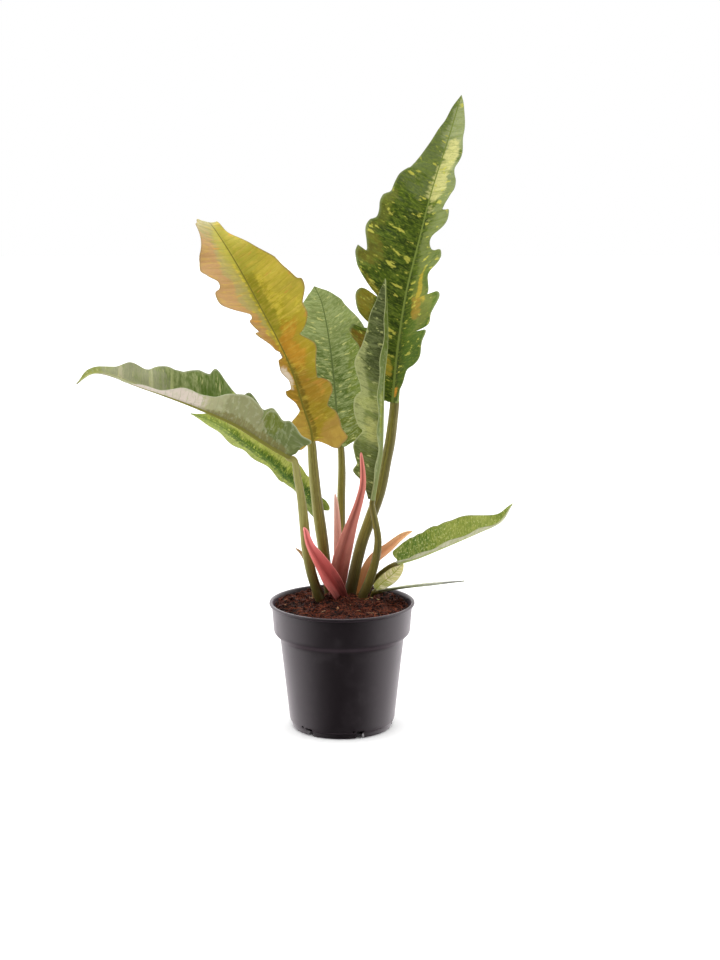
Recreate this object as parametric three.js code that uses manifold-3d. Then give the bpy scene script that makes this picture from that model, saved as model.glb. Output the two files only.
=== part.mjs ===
import * as THREE from 'three';
import { mergeVertices } from 'three/addons/utils/BufferGeometryUtils.js';
import Module from 'manifold-3d';

// A potted philodendron: nine leaves, each a stem and a marbled blade with a lobed edge,
// five bud sheaths, the growing mix and a black nursery pot.
// Millimetres, +Z up. The origin is on the pot's axis, on the flat under its floor.
// -Y is the side that the plant shows to the front.

// Driving dimensions of the pot
const POT_HEIGHT = 106.7;
const LIP_RADIUS = 60.8;
const BAND_LOWER_EDGE = 81.4;
const BASE_RADIUS = 41.8;
const WALL = 1.3;
const FLOOR_RAISE = 2.4;
const FLOOR_THICKNESS = 1.6;
const PAD_RADIUS = 12;
const NOTCH_COUNT = 6;
const NOTCH_FIRST_ANGLE = -39;
const NOTCH_WIDTH = 7;
const NOTCH_HEIGHT = 6.6;
const POT_SIDES = 48;

// Driving dimensions of the growing mix and of how the stems stand in it
const MIX_EDGE_HEIGHT = 101;
const MIX_CENTRE_HEIGHT = 105.4;
const MIX_GAP = 0.8;
const HOLE_GAP = 0.4;
const MIX_SIDES = 36;

// Driving dimensions of the leaves. The last stretch of a stem below its blade is straight.
const BLADE_THICKNESS = 0.8;
const JOINT_GAP = 0.4;
const STRAIGHT_TOP = 9;
const STEM_SIDES = 10;
const STEM_STEPS = 14;

const wasm = await Module();
wasm.setup();

const plant = new THREE.Group();

const vec = (point) => new THREE.Vector3(point[0], point[1], point[2]);
const radians = (degrees) => degrees * Math.PI / 180;
const clamp01 = (value) => Math.min(1, Math.max(0, value));

// A value given at equal steps along a piece, eased from one step to the next
function along(values, share) {
  const spans = values.length - 1;
  if (spans === 0) return values[0];
  const place = clamp01(share) * spans;
  const step = Math.min(Math.floor(place), spans - 1);
  const t = place - step;
  const ease = t * t * (3 - 2 * t);
  return values[step] * (1 - ease) + values[step + 1] * ease;
}

// A smooth line through a few points, read by its share of the length,
// with the way it runs, the way the piece faces and the way to its right
function ribLine(points, face) {
  const curve = new THREE.CatmullRomCurve3(points.map(vec), false, 'catmullrom', 0.5);
  curve.arcLengthDivisions = 800;
  const length = curve.getLength();
  const facing = [0, 1, 2].map((axis) => face.map((row) => row[axis]));
  const frame = (share) => {
    const s = clamp01(share);
    const tangent = curve.getTangentAt(s);
    const normal = new THREE.Vector3(along(facing[0], s), along(facing[1], s), along(facing[2], s));
    normal.addScaledVector(tangent, -normal.dot(tangent)).normalize();
    const right = new THREE.Vector3().crossVectors(tangent, normal);
    const point = curve.getPointAt(s).addScaledVector(tangent, (share - s) * length);
    return { point, tangent, normal, right };
  };
  return { frame, length };
}

// Turns points and triangles into a mesh geometry, with equal points made one
function solidGeometry(points, triangles) {
  const geometry = new THREE.BufferGeometry();
  geometry.setAttribute('position', new THREE.Float32BufferAttribute(points.flat(), 3));
  geometry.setIndex(triangles.flat());
  const merged = mergeVertices(geometry, 1e-4);
  const index = merged.index.array;
  const kept = [];
  for (let i = 0; i < index.length; i += 3) {
    const [a, b, c] = [index[i], index[i + 1], index[i + 2]];
    if (a !== b && b !== c && a !== c) kept.push(a, b, c);
  }
  merged.setIndex(kept);
  merged.computeVertexNormals();
  return merged;
}

// A loft through rings of points, closed at both ends by fans round their middles
function loft(rings) {
  const sides = rings[0].length;
  const points = rings.flat();
  const triangles = [];
  for (let j = 0; j < rings.length - 1; j += 1) {
    for (let i = 0; i < sides; i += 1) {
      const a = j * sides + i;
      const b = j * sides + (i + 1) % sides;
      triangles.push([a, b, b + sides], [a, b + sides, a + sides]);
    }
  }
  const middle = (ring) => [0, 1, 2].map((axis) => {
    let sum = 0;
    for (const point of ring) sum += point[axis];
    return sum / ring.length;
  });
  const first = points.length;
  points.push(middle(rings[0]), middle(rings[rings.length - 1]));
  const last = (rings.length - 1) * sides;
  for (let i = 0; i < sides; i += 1) {
    triangles.push([first, (i + 1) % sides, i]);
    triangles.push([first + 1, last + i, last + (i + 1) % sides]);
  }
  return solidGeometry(points, triangles);
}

// A round or oval stem along a line. Half widths run from its foot to its top.
// The spare width makes the tool that cuts the hole a stem stands in.
function stemGeometry({ points, face, across, deep, spare = 0 }) {
  const line = ribLine(points, face);
  const lower = spare / line.length;
  const rings = [];
  for (let j = 0; j <= STEM_STEPS; j += 1) {
    const share = j / STEM_STEPS;
    const { point, normal, right } = line.frame(j === 0 ? -lower : share);
    const rx = along(across, share) + spare;
    const ry = along(deep, share) + spare;
    const ring = [];
    for (let i = 0; i < STEM_SIDES; i += 1) {
      const angle = 2 * Math.PI * i / STEM_SIDES;
      const place = point.clone();
      place.addScaledVector(right, rx * Math.cos(angle));
      place.addScaledVector(normal, -ry * Math.sin(angle));
      ring.push(place.toArray());
    }
    rings.push(ring);
  }
  return loft(rings);
}

// The place on a blade's upper face: from the rib at a share of its length, a distance
// across that rises by a lift angle, with waves along the margin that fade out towards
// the rib. The second result is the way that the face looks there.
function bladePoint(blade, share, width, side, reach) {
  const { point, normal, right } = blade.line.frame(share);
  const lift = radians(along(side > 0 ? blade.liftRight : blade.liftLeft, share));
  const place = point.addScaledVector(right, side * width * Math.cos(lift));
  place.addScaledVector(normal, width * Math.sin(lift));
  const look = normal.clone().multiplyScalar(Math.cos(lift));
  look.addScaledVector(right, -side * Math.sin(lift));
  const [height, count, start] = blade.wave;
  const fade = Math.min(1, 6 * share) * Math.min(1, 4 * (1 - share)) * reach * reach;
  const swing = Math.sin(2 * Math.PI * (count * share + start + 0.3 * side));
  place.addScaledVector(look, height * fade * swing);
  return { place, look };
}

// Where the vein that runs to each outline point leaves the rib: further back the wider
// the blade is there, and always a little further on than the vein before it
function veinRoots(outline, sweep, length) {
  const roots = [];
  let reached = 0;
  for (const [share, width] of outline) {
    reached = Math.max(reached, share - sweep * width / length);
    roots.push(reached);
  }
  const last = roots[roots.length - 1];
  const even = outline.length - 1;
  return roots.map((root, i) => 0.88 * root / last + 0.12 * i / even);
}

// One leaf blade or sheath. Its face is a net of triangles between the rib and the outline
// on each side, and the back is the same net moved back by the thickness, which swells
// under the rib. Both nets are joined all round their rim.
function bladeGeometry(spec) {
  const blade = {
    line: ribLine(spec.rib, spec.face),
    liftLeft: spec.liftLeft,
    liftRight: spec.liftRight,
    wave: spec.wave ?? [0, 1, 0],
  };
  const thickness = spec.thickness ?? [BLADE_THICKNESS];
  const sweep = spec.sweep ?? 0.4;
  const columns = spec.columns ?? [0.55, 1];
  const ids = new Map();
  const nodes = [];
  const id = (share, width, side, reach) => {
    const key = `${width < 1e-6 ? 0 : side} ${share.toFixed(5)} ${width.toFixed(3)}`;
    if (!ids.has(key)) {
      ids.set(key, nodes.length);
      nodes.push([share, width, side, reach]);
    }
    return ids.get(key);
  };
  const sideRoots = [veinRoots(spec.left, sweep, blade.line.length),
    veinRoots(spec.right, sweep, blade.line.length)];
  let shared = [...sideRoots[0], ...sideRoots[1]].sort((a, b) => a - b);
  const snap = 0.5 / blade.line.length;
  shared = shared.filter((share, i) => i === 0 || share === 1 || share - shared[i - 1] > snap * 0.01);
  const ribShares = [];
  for (const share of shared) {
    const previous = ribShares[ribShares.length - 1];
    if (ribShares.length === 0 || share - previous > snap) ribShares.push(share);
  }
  ribShares[0] = 0;
  ribShares[ribShares.length - 1] = 1;
  const faces = [];
  [[-1, spec.left, sideRoots[0]], [1, spec.right, sideRoots[1]]].forEach(([side, outline, roots]) => {
    const add = (a, b, c) => {
      if (a === b || b === c || a === c) return;
      faces.push(side > 0 ? [a, b, c] : [a, c, b]);
    };
    const rows = outline.map(([share, width], i) => {
      const root = roots[i];
      const inner = Math.min(along(spec.ribWidth, root), 0.45 * width);
      const shares = [inner / Math.max(width, 1e-9), ...columns];
      const bend = share < 0 ? 3 : 1.2;
      const useful = shares.map((v, k) => (k === 0 ? v : v * (1 - shares[0]) + shares[0]));
      return useful.map((v) => id(root + (share - root) * v ** bend, width * v, side, v));
    });
    for (let i = 0; i < rows.length - 1; i += 1) {
      for (let k = 0; k < rows[i].length - 1; k += 1) {
        const [a, b, c, d] = [rows[i][k], rows[i][k + 1], rows[i + 1][k + 1], rows[i + 1][k]];
        if (i % 2 === 0) { add(a, b, c); add(a, c, d); } else { add(a, b, d); add(b, c, d); }
      }
    }
    let r = 0;
    let q = 0;
    while (r < ribShares.length - 1 || q < rows.length - 1) {
      const nextRib = r < ribShares.length - 1 ? ribShares[r + 1] : Infinity;
      const nextRow = q < rows.length - 1 ? roots[q + 1] : Infinity;
      const here = id(ribShares[r], 0, side, 0);
      if (nextRib <= nextRow) {
        add(here, rows[q][0], id(nextRib, 0, side, 0));
        r += 1;
      } else {
        add(here, rows[q][0], rows[q + 1][0]);
        q += 1;
      }
    }
  });
  const ribDepth = spec.ribDepth;
  const top = [];
  const back = [];
  for (const [share, width, side, reach] of nodes) {
    const { place, look } = bladePoint(blade, share, width, side, reach);
    const ridge = along(spec.ribWidth, share);
    const bulge = Math.sqrt(Math.max(0, 1 - (width / ridge) ** 2));
    const depth = along(thickness, share) + along(ribDepth, share) * bulge;
    top.push(place.toArray());
    back.push(place.clone().addScaledVector(look, -depth).toArray());
  }
  const count = nodes.length;
  const triangles = [];
  const edges = new Map();
  for (const [a, b, c] of faces) {
    triangles.push([a, b, c], [a + count, c + count, b + count]);
    for (const [p, q] of [[a, b], [b, c], [c, a]]) {
      if (edges.has(`${q} ${p}`)) edges.delete(`${q} ${p}`);
      else edges.set(`${p} ${q}`, [p, q]);
    }
  }
  for (const [p, q] of edges.values()) {
    triangles.push([q, p, p + count], [q, p + count, q + count]);
  }
  return solidGeometry([...top, ...back], triangles);
}

function toSolid(geometry) {
  const plain = geometry.clone();
  plain.deleteAttribute('normal');
  plain.deleteAttribute('uv');
  const merged = mergeVertices(plain, 1e-5);
  return new wasm.Manifold(new wasm.Mesh({
    numProp: 3,
    vertProperties: new Float32Array(merged.attributes.position.array),
    triVerts: new Uint32Array(merged.index.array),
  }));
}

function toGeometry(solid) {
  const mesh = solid.getMesh();
  const geometry = new THREE.BufferGeometry();
  geometry.setAttribute('position', new THREE.BufferAttribute(mesh.vertProperties, 3));
  geometry.setIndex(new THREE.BufferAttribute(mesh.triVerts, 1));
  geometry.computeVertexNormals();
  return geometry;
}

function addPiece(name, geometry, colour, roughness) {
  const material = new THREE.MeshStandardMaterial({ color: colour, roughness, metalness: 0 });
  const mesh = new THREE.Mesh(geometry, material);
  mesh.name = name;
  plant.add(mesh);
}

const STEM_COLOUR = 0x6f7a2c;
const MIX_COLOUR = 0x3a1d12;
const POT_COLOUR = 0x2a282b;

// Leaves: rib points in mm, the way the face looks at equal steps along the rib,
// and each side's outline as [share of the rib's length, width from the rib in mm]
const leaves = {
  tall: {
    colour: 0x47602a,
    rib: [[42, 26, 270], [46, 29, 312], [53, 33, 359], [63, 37, 400], [74, 42, 443], [88, 46, 487],
      [98, 48, 521]],
    face: [[-0.5, -0.86, 0], [-0.52, -0.85, 0], [-0.5, -0.86, 0], [-0.25, -0.97, 0]],
    liftLeft: [26, 26, 24, 15],
    liftRight: [26, 30, 28, 18],
    left: [[0, 3.8], [0.004, 7], [0.006, 12], [0.048, 19.5], [0.109, 27.5], [0.167, 33], [0.195, 40.5],
      [0.215, 42.5], [0.232, 40.5], [0.23, 36], [0.226, 30.5], [0.232, 23.5], [0.25, 30], [0.274, 37],
      [0.308, 41], [0.329, 41.5], [0.343, 38.5], [0.342, 33.5], [0.332, 28.5], [0.327, 23.5],
      [0.349, 30.5], [0.379, 39], [0.404, 45], [0.431, 48.5], [0.446, 49.5], [0.463, 48.5],
      [0.455, 46.5], [0.45, 43.5], [0.456, 40.5], [0.484, 42.5], [0.515, 45.5], [0.536, 46],
      [0.554, 44], [0.56, 41.5], [0.569, 39], [0.591, 38.5], [0.616, 39.5], [0.636, 38.5],
      [0.644, 36.5], [0.654, 33], [0.677, 32], [0.701, 30.5], [0.716, 28.5], [0.733, 24.5],
      [0.74, 22.5], [0.779, 18], [0.831, 13.5], [0.875, 10.5], [0.911, 7], [0.956, 4.5], [1, 0]],
    right: [[0, 3.8], [0.012, 6], [0.042, 7], [0.069, 11.5], [0.093, 15], [0.113, 17.5], [0.129, 24],
      [0.15, 29], [0.181, 34], [0.208, 37], [0.237, 38], [0.248, 34.5], [0.238, 24], [0.258, 34.5],
      [0.272, 39.5], [0.297, 44], [0.321, 48.5], [0.347, 49], [0.373, 46], [0.377, 41], [0.362, 36],
      [0.352, 30.5], [0.374, 30], [0.4, 29], [0.429, 28.5], [0.459, 31], [0.486, 33.5], [0.506, 33],
      [0.507, 29], [0.503, 24], [0.505, 19], [0.521, 17], [0.544, 18.5], [0.565, 23], [0.589, 27.5],
      [0.613, 30], [0.634, 30.5], [0.633, 26.5], [0.633, 22], [0.645, 23.5], [0.666, 25],
      [0.689, 24.5], [0.711, 25.5], [0.735, 25], [0.75, 22.5], [0.773, 19.5], [0.8, 19], [0.833, 18],
      [0.871, 14.5], [0.902, 12], [0.941, 8], [0.977, 4], [1, 0]],
    wave: [1.6, 9, 0.1],
    ribWidth: [3.4, 2.6, 1.8, 0.9],
    ribDepth: [6, 3.6, 2, 0.5],
    stem: [[5.5, 27.5, 95], [7.5, 27, 111], [15.5, 26, 147], [23.2, 26, 170], [32, 26, 196], [37, 26, 221],
      [40.3, 26, 238]],
    stemAcross: [5, 4.9, 4.9, 4.5, 4],
    stemDeep: [5, 4.9, 4.9, 4.5, 4],
  },
  caramel: {
    colour: 0xb08a35,
    rib: [[-24, 2, 241], [-25.8, 2.9, 252], [-32.2, 5, 271], [-41, 9, 299], [-53, 13, 325],
      [-66, 17, 349], [-78, 21, 371], [-91, 26, 393], [-103, 31, 411], [-109, 43, 417],
      [-112, 59, 416.5], [-114, 74, 409], [-115, 87, 398]],
    face: [[0.4, -0.9, 0.2], [0.56, -0.78, 0.28], [0.45, -0.8, 0.4], [0.3, -0.85, 0.45],
      [0.2, -0.3, 0.95], [0.1, 0.2, 0.9]],
    liftLeft: [14, 30, 30, 26, 10, 0],
    liftRight: [22, 28, 28, 24, 10, 0],
    left: [[0, 3.8], [-0.012, 8], [-0.018, 14], [0.002, 19], [0.032, 21], [0.06, 20.5], [0.082, 17.5],
      [0.094, 10.5], [0.102, 6], [0.11, 3.8], [0.118, 5], [0.134, 8.5], [0.151, 16.5], [0.164, 22.5],
      [0.177, 23], [0.178, 19.5], [0.181, 13.5], [0.191, 11], [0.21, 8.5], [0.225, 11], [0.245, 14.5],
      [0.266, 15], [0.281, 15], [0.284, 11], [0.288, 6.5], [0.296, 6.5], [0.305, 9], [0.316, 13.5],
      [0.334, 14], [0.358, 17], [0.38, 22], [0.391, 24], [0.392, 18.5], [0.405, 22], [0.424, 27],
      [0.433, 26.5], [0.437, 22.5], [0.45, 21], [0.463, 27], [0.478, 33.5], [0.499, 39.5],
      [0.517, 42.5], [0.541, 42.5], [0.555, 41.5], [0.56, 38], [0.563, 34.5], [0.573, 32.5],
      [0.587, 33], [0.603, 37.5], [0.62, 40.5], [0.636, 42.5], [0.661, 38.5], [0.687, 36.5],
      [0.709, 31.5], [0.73, 26], [0.75, 20.5], [0.77, 16], [0.79, 12], [0.82, 10.5], [0.85, 9.5],
      [0.9, 7], [0.95, 3.5], [1, 0]],
    right: [[0, 3.8], [-0.006, 7], [-0.02, 12.5], [-0.031, 16.5], [-0.034, 21], [-0.023, 24],
      [-0.012, 28], [-0.001, 29.5], [0.015, 28], [0.028, 25.5], [0.045, 25.5], [0.069, 24.5],
      [0.082, 22], [0.095, 20], [0.109, 22], [0.122, 24.5], [0.137, 27.5], [0.153, 28.5],
      [0.167, 28], [0.179, 25.5], [0.188, 22], [0.192, 19], [0.206, 19], [0.233, 21], [0.258, 24.5],
      [0.272, 26.5], [0.287, 27], [0.302, 24.5], [0.318, 21], [0.331, 19], [0.337, 22],
      [0.347, 25.5], [0.362, 29.5], [0.378, 32], [0.396, 32.5], [0.413, 33], [0.431, 36.5],
      [0.45, 40], [0.469, 41.5], [0.485, 41], [0.493, 38], [0.52, 35.5], [0.55, 32.5], [0.58, 30.5],
      [0.603, 27], [0.632, 22], [0.66, 18], [0.69, 14], [0.72, 10.5], [0.75, 8], [0.78, 6.5],
      [0.82, 5.5], [0.86, 5], [0.9, 4.2], [0.95, 2.4], [1, 0]],
    wave: [1.8, 7, 0.4],
    ribWidth: [2.6, 2.2, 1.6, 0.8],
    ribDepth: [4.4, 3, 1.8, 0.5],
    stem: [[-10, 29, 95], [-11, 28, 111], [-14, 23, 132], [-16.6, 18, 155], [-18.9, 14, 173], [-21.8, 8, 199],
      [-23.6, 4.5, 221]],
    straightTop: 5,
    stemAcross: [4.5, 4.7, 4.9, 4.5, 3.8],
    stemDeep: [4.5, 4.6, 4.6, 4.1, 3.3],
  },
  back: {
    colour: 0x83935c,
    rib: [[-1.2, 58, 227], [-1.9, 59.4, 236], [-4.3, 62.2, 251], [-7, 68, 282], [-11, 74, 315],
      [-17, 80, 346], [-24, 84, 362]],
    face: [[0.05, -1, 0.25], [0.1, -1, 0.25], [0, -1, 0.3]],
    liftLeft: [15, 12, 10],
    liftRight: [15, 12, 10],
    left: [[0, 3.4], [0.012, 5.5], [0.032, 9.5], [0.04, 18], [0.071, 22.5], [0.11, 23], [0.152, 25.5],
      [0.2, 28], [0.24, 26.5], [0.275, 28], [0.34, 30.5], [0.39, 29], [0.431, 28], [0.5, 30],
      [0.56, 29], [0.617, 26.5], [0.7, 26.5], [0.77, 23.5], [0.84, 22], [0.892, 18.5], [0.93, 15.5],
      [0.95, 12], [0.966, 8.5], [0.98, 4.5], [1, 0]],
    right: [[0, 3.4], [0.004, 5], [0.018, 8], [0.035, 13], [0.06, 19.5], [0.1, 22], [0.145, 27],
      [0.19, 27], [0.24, 31], [0.3, 30], [0.345, 33], [0.4, 31.5], [0.46, 34.5], [0.534, 33],
      [0.59, 35], [0.634, 33.5], [0.7, 31.5], [0.742, 29], [0.781, 25.5], [0.813, 22], [0.85, 18.5],
      [0.875, 17], [0.9, 13.5], [0.931, 9.5], [0.97, 4], [1, 0]],
    wave: [1.4, 5, 0.2],
    ribWidth: [2.5, 2, 1.4, 0.7],
    ribDepth: [4, 2.6, 1.4, 0.4],
    stem: [[0, 39, 93], [0, 39, 108], [-1, 45, 149], [-1, 52.5, 183], [-0.5, 57, 205]],
    straightTop: 6,
    stemAcross: [3.2, 3.4, 3.7, 3.5, 3],
    stemDeep: [3.2, 3.3, 3.4, 3.2, 2.8],
  },
  folded: {
    colour: 0x6f8040,
    rib: [[24, 4, 192], [27, 3, 210], [31, 2, 234], [32, 1, 263], [33, 0, 292], [36, -1, 321],
      [36, -2, 348], [35, -4, 375]],
    face: [[-0.75, -0.66, 0], [-0.78, -0.62, 0], [-0.74, -0.67, 0]],
    liftLeft: [42, 44, 42],
    liftRight: [56, 60, 56],
    left: [[0, 2.8], [0.02, 4.5], [0.045, 7], [0.081, 12], [0.101, 17], [0.118, 19.5], [0.147, 17.5],
      [0.179, 20], [0.228, 22.5], [0.26, 22], [0.286, 19], [0.315, 15.5], [0.333, 18.5],
      [0.364, 21], [0.408, 23], [0.453, 23], [0.472, 21.5], [0.488, 18], [0.52, 18.5], [0.561, 21.5],
      [0.597, 24], [0.623, 24.5], [0.661, 22.5], [0.692, 20.5], [0.732, 18.5], [0.77, 16.5],
      [0.816, 15], [0.858, 12.5], [0.895, 9], [0.939, 5.5], [0.978, 2], [1, 0]],
    right: [[0, 2.8], [0.03, 3.2], [0.06, 4.2], [0.1, 6.2], [0.14, 6.8], [0.19, 6.6], [0.24, 8.3],
      [0.3, 9.2], [0.37, 8.6], [0.42, 9.8], [0.48, 10.6], [0.52, 9.8], [0.56, 10.8], [0.62, 12.8],
      [0.67, 12.2], [0.73, 11], [0.8, 8.8], [0.86, 7], [0.91, 4.6], [0.96, 2.4], [1, 0]],
    wave: [0.8, 6, 0],
    ribWidth: [2, 1.7, 1.3, 0.7],
    ribDepth: [3, 2.2, 1.3, 0.4],
    stem: [[16, 16, 95], [17.5, 16, 107], [23, 14, 121], [28, 10, 139], [30, 7, 157], [27.5, 5.5, 174]],
    straightTop: 4,
    stemAcross: [4.1, 3.9, 3.4, 2.9, 2.3],
    stemDeep: [4.1, 3.9, 3.4, 2.9, 2.3],
  },
  left: {
    colour: 0x8e9670,
    rib: [[-41, -24, 234], [-59, -27, 245], [-85, -32, 262], [-113, -38, 276], [-140, -43, 287],
      [-163, -48, 296], [-183, -52, 304], [-197, -54, 305], [-208, -56, 297]],
    face: [[0, -0.22, 0.97], [0, -0.15, 0.98], [0, -0.2, 0.95], [0, -0.3, 0.92], [0, -0.3, 0.92]],
    liftLeft: [50, 50, 44, 24, 12],
    liftRight: [70, 68, 62, 50, 36],
    left: [[0, 3.2], [-0.008, 8], [-0.005, 16], [-0.006, 24], [-0.018, 34], [-0.006, 38], [0.035, 37.5],
      [0.083, 43], [0.122, 45.5], [0.142, 40.5], [0.161, 40.5], [0.189, 41.5], [0.208, 38.5],
      [0.213, 34.5], [0.207, 27], [0.206, 21.5], [0.22, 30.5], [0.234, 34.5], [0.257, 38],
      [0.279, 41.5], [0.307, 44], [0.335, 42.5], [0.356, 38.5], [0.396, 32], [0.421, 27.5],
      [0.448, 27.5], [0.484, 25], [0.523, 23], [0.565, 23], [0.61, 21.5], [0.65, 18], [0.69, 17.5],
      [0.73, 14], [0.78, 11], [0.84, 8], [0.9, 5], [0.96, 2.5], [1, 0]],
    right: [[0, 3.2], [-0.008, 8], [-0.005, 14], [0.02, 20], [0.06, 22], [0.085, 19], [0.12, 23],
      [0.17, 27], [0.2, 22], [0.23, 24], [0.28, 28], [0.3, 23], [0.325, 22.5], [0.355, 25.5],
      [0.389, 29.5], [0.423, 33.5], [0.441, 34], [0.449, 32], [0.455, 28.5], [0.471, 28],
      [0.496, 28.5], [0.512, 27.5], [0.534, 25.5], [0.555, 23], [0.572, 22.5], [0.594, 22],
      [0.623, 22.5], [0.655, 21], [0.674, 19], [0.692, 16], [0.713, 15], [0.738, 15.5],
      [0.769, 16], [0.79, 15], [0.808, 12], [0.83, 8.5], [0.871, 6.5], [0.9, 5.5], [0.94, 3.5],
      [0.97, 1.5], [1, 0]],
    wave: [1.2, 6, 0.3],
    ribWidth: [2.4, 2, 1.5, 0.7],
    ribDepth: [3.6, 2.6, 1.6, 0.4],
    stem: [[-15, 7, 95], [-18, 5, 106], [-25, 0, 129], [-29, -4, 151], [-30.5, -8, 169], [-32, -12, 187],
      [-34, -16.6, 204], [-36, -20, 216]],
    straightTop: 5,
    stemAcross: [4.3, 4.3, 4.3, 4.2, 4, 3.2],
    stemDeep: [4.3, 4.2, 4, 3.8, 3.3, 2.6],
  },
  yellow: {
    colour: 0x86a030,
    rib: [[-20, 36.5, 175], [-26, 36, 184], [-35, 36, 195], [-50, 37, 208], [-62, 38.5, 219],
      [-78, 40.5, 230.5], [-93, 42, 241.5], [-109, 44, 251], [-128, 46, 258]],
    face: [[0.3, -0.55, 0.8], [0.3, -0.5, 0.8], [0.2, -0.5, 0.85]],
    liftLeft: [20, 18, 14],
    liftRight: [20, 18, 14],
    left: [[0, 3], [-0.02, 7], [0, 12], [0.045, 15], [0.1, 14], [0.14, 16], [0.175, 13.5], [0.22, 11],
      [0.26, 10], [0.285, 9.5], [0.315, 12.5], [0.384, 12], [0.434, 11], [0.48, 11.5], [0.539, 15],
      [0.595, 14.5], [0.673, 15.5], [0.766, 13], [0.845, 10], [0.93, 4.5], [1, 0]],
    right: [[0, 3], [-0.02, 6], [-0.035, 9], [-0.02, 11.5], [0.02, 12], [0.06, 10.5], [0.1, 12],
      [0.16, 16], [0.2, 14], [0.26, 16], [0.32, 17.5], [0.37, 14.5], [0.43, 16], [0.505, 15],
      [0.58, 13.5], [0.645, 12.5], [0.744, 10], [0.842, 9], [0.897, 6.5], [0.949, 3], [1, 0]],
    wave: [1, 5, 0.6],
    ribWidth: [2, 1.6, 1.2, 0.6],
    ribDepth: [2.8, 1.8, 1, 0.3],
    straightTop: 6,
    stem: [[-11, 41, 93], [-11, 41, 106], [-14, 40.5, 128], [-16, 40, 144], [-17, 39, 158]],
    stemAcross: [2.7, 2.6, 2.4, 2.3, 2.2],
    stemDeep: [2.7, 2.6, 2.4, 2.3, 2.2],
  },
  right: {
    colour: 0x92a83c,
    rib: [[46, 6, 139], [65, 4, 145], [90, 1, 156], [114, -2, 167], [131, -4, 176], [140, -6, 191]],
    face: [[-0.2, -0.25, 0.95], [-0.25, -0.25, 0.95], [-0.3, -0.3, 0.9]],
    liftLeft: [45, 42, 30],
    liftRight: [32, 33, 36],
    left: [[0, 2.8], [-0.018, 6], [-0.018, 10], [0.019, 12.5], [0.073, 15.5], [0.1, 16.5], [0.136, 18],
      [0.165, 18], [0.21, 19.5], [0.245, 19], [0.281, 20], [0.342, 20.5], [0.38, 19.5],
      [0.43, 20.5], [0.5, 19.5], [0.562, 19], [0.64, 17], [0.716, 13.5], [0.8, 9.5], [0.88, 6],
      [0.95, 3], [1, 0]],
    right: [[0, 2.8], [-0.015, 6], [0, 10], [0.05, 13.5], [0.1, 14], [0.15, 16.5], [0.2, 15.5],
      [0.26, 18], [0.32, 17], [0.38, 19], [0.45, 18], [0.52, 18.5], [0.6, 17], [0.68, 15],
      [0.76, 12], [0.84, 8.5], [0.91, 5], [0.96, 2.5], [1, 0]],
    wave: [0.8, 4, 0.2],
    ribWidth: [1.8, 1.5, 1.1, 0.6],
    ribDepth: [2.4, 1.6, 1, 0.3],
    straightTop: 3,
    stem: [[20.5, 35, 96], [21.5, 33.5, 107], [26.5, 26, 118], [33, 17, 127], [39, 11, 133]],
    stemAcross: [2.2, 2.1, 2, 1.9, 1.9],
    stemDeep: [2.2, 2.1, 2, 1.9, 1.9],
  },
  pale: {
    colour: 0xc4cc86,
    rib: [[28, 31.5, 109], [34, 34, 113.8], [43, 37.5, 120.6], [52, 41.5, 129.5]],
    face: [[-0.2, -0.7, 0.7]],
    liftLeft: [10],
    liftRight: [10],
    left: [[0, 2], [0.06, 4.5], [0.2, 7], [0.33, 8.5], [0.5, 8], [0.65, 7], [0.8, 5], [0.92, 2.5],
      [1, 0]],
    right: [[0, 2], [0.08, 5], [0.25, 7], [0.4, 8], [0.54, 8], [0.7, 7], [0.84, 5], [0.94, 2.5],
      [1, 0]],
    ribWidth: [1.3, 1, 0.6],
    ribDepth: [1.6, 1, 0.3],
    straightTop: 2.5,
    stem: [[25.5, 29, 96], [25.6, 29.2, 103]],
    stemAcross: [1.6, 1.5],
    stemDeep: [1.6, 1.5],
  },
  edge: {
    colour: 0x93a25a,
    rib: [[31, 20, 111], [49, 15, 115], [75, 10, 119], [102, 5, 123]],
    face: [[0, 0.16, 0.98]],
    liftLeft: [4],
    liftRight: [4],
    left: [[0, 2], [0.04, 4.5], [0.12, 7.5], [0.2, 8], [0.3, 9.5], [0.4, 9], [0.52, 9.5], [0.64, 8.5],
      [0.76, 6.5], [0.88, 4], [0.96, 1.8], [1, 0]],
    right: [[0, 2], [0.05, 5], [0.14, 7.5], [0.24, 8.5], [0.34, 9.5], [0.46, 9.5], [0.58, 9],
      [0.7, 7.5], [0.82, 5.5], [0.92, 3], [1, 0]],
    ribWidth: [1.3, 1, 0.6],
    ribDepth: [1.6, 1, 0.3],
    straightTop: 1.5,
    stem: [[23.5, 23, 95], [24.2, 22.6, 103], [26.3, 21.5, 107.3]],
    stemAcross: [1.6, 1.5],
    stemDeep: [1.6, 1.5],
  },
};

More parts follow.
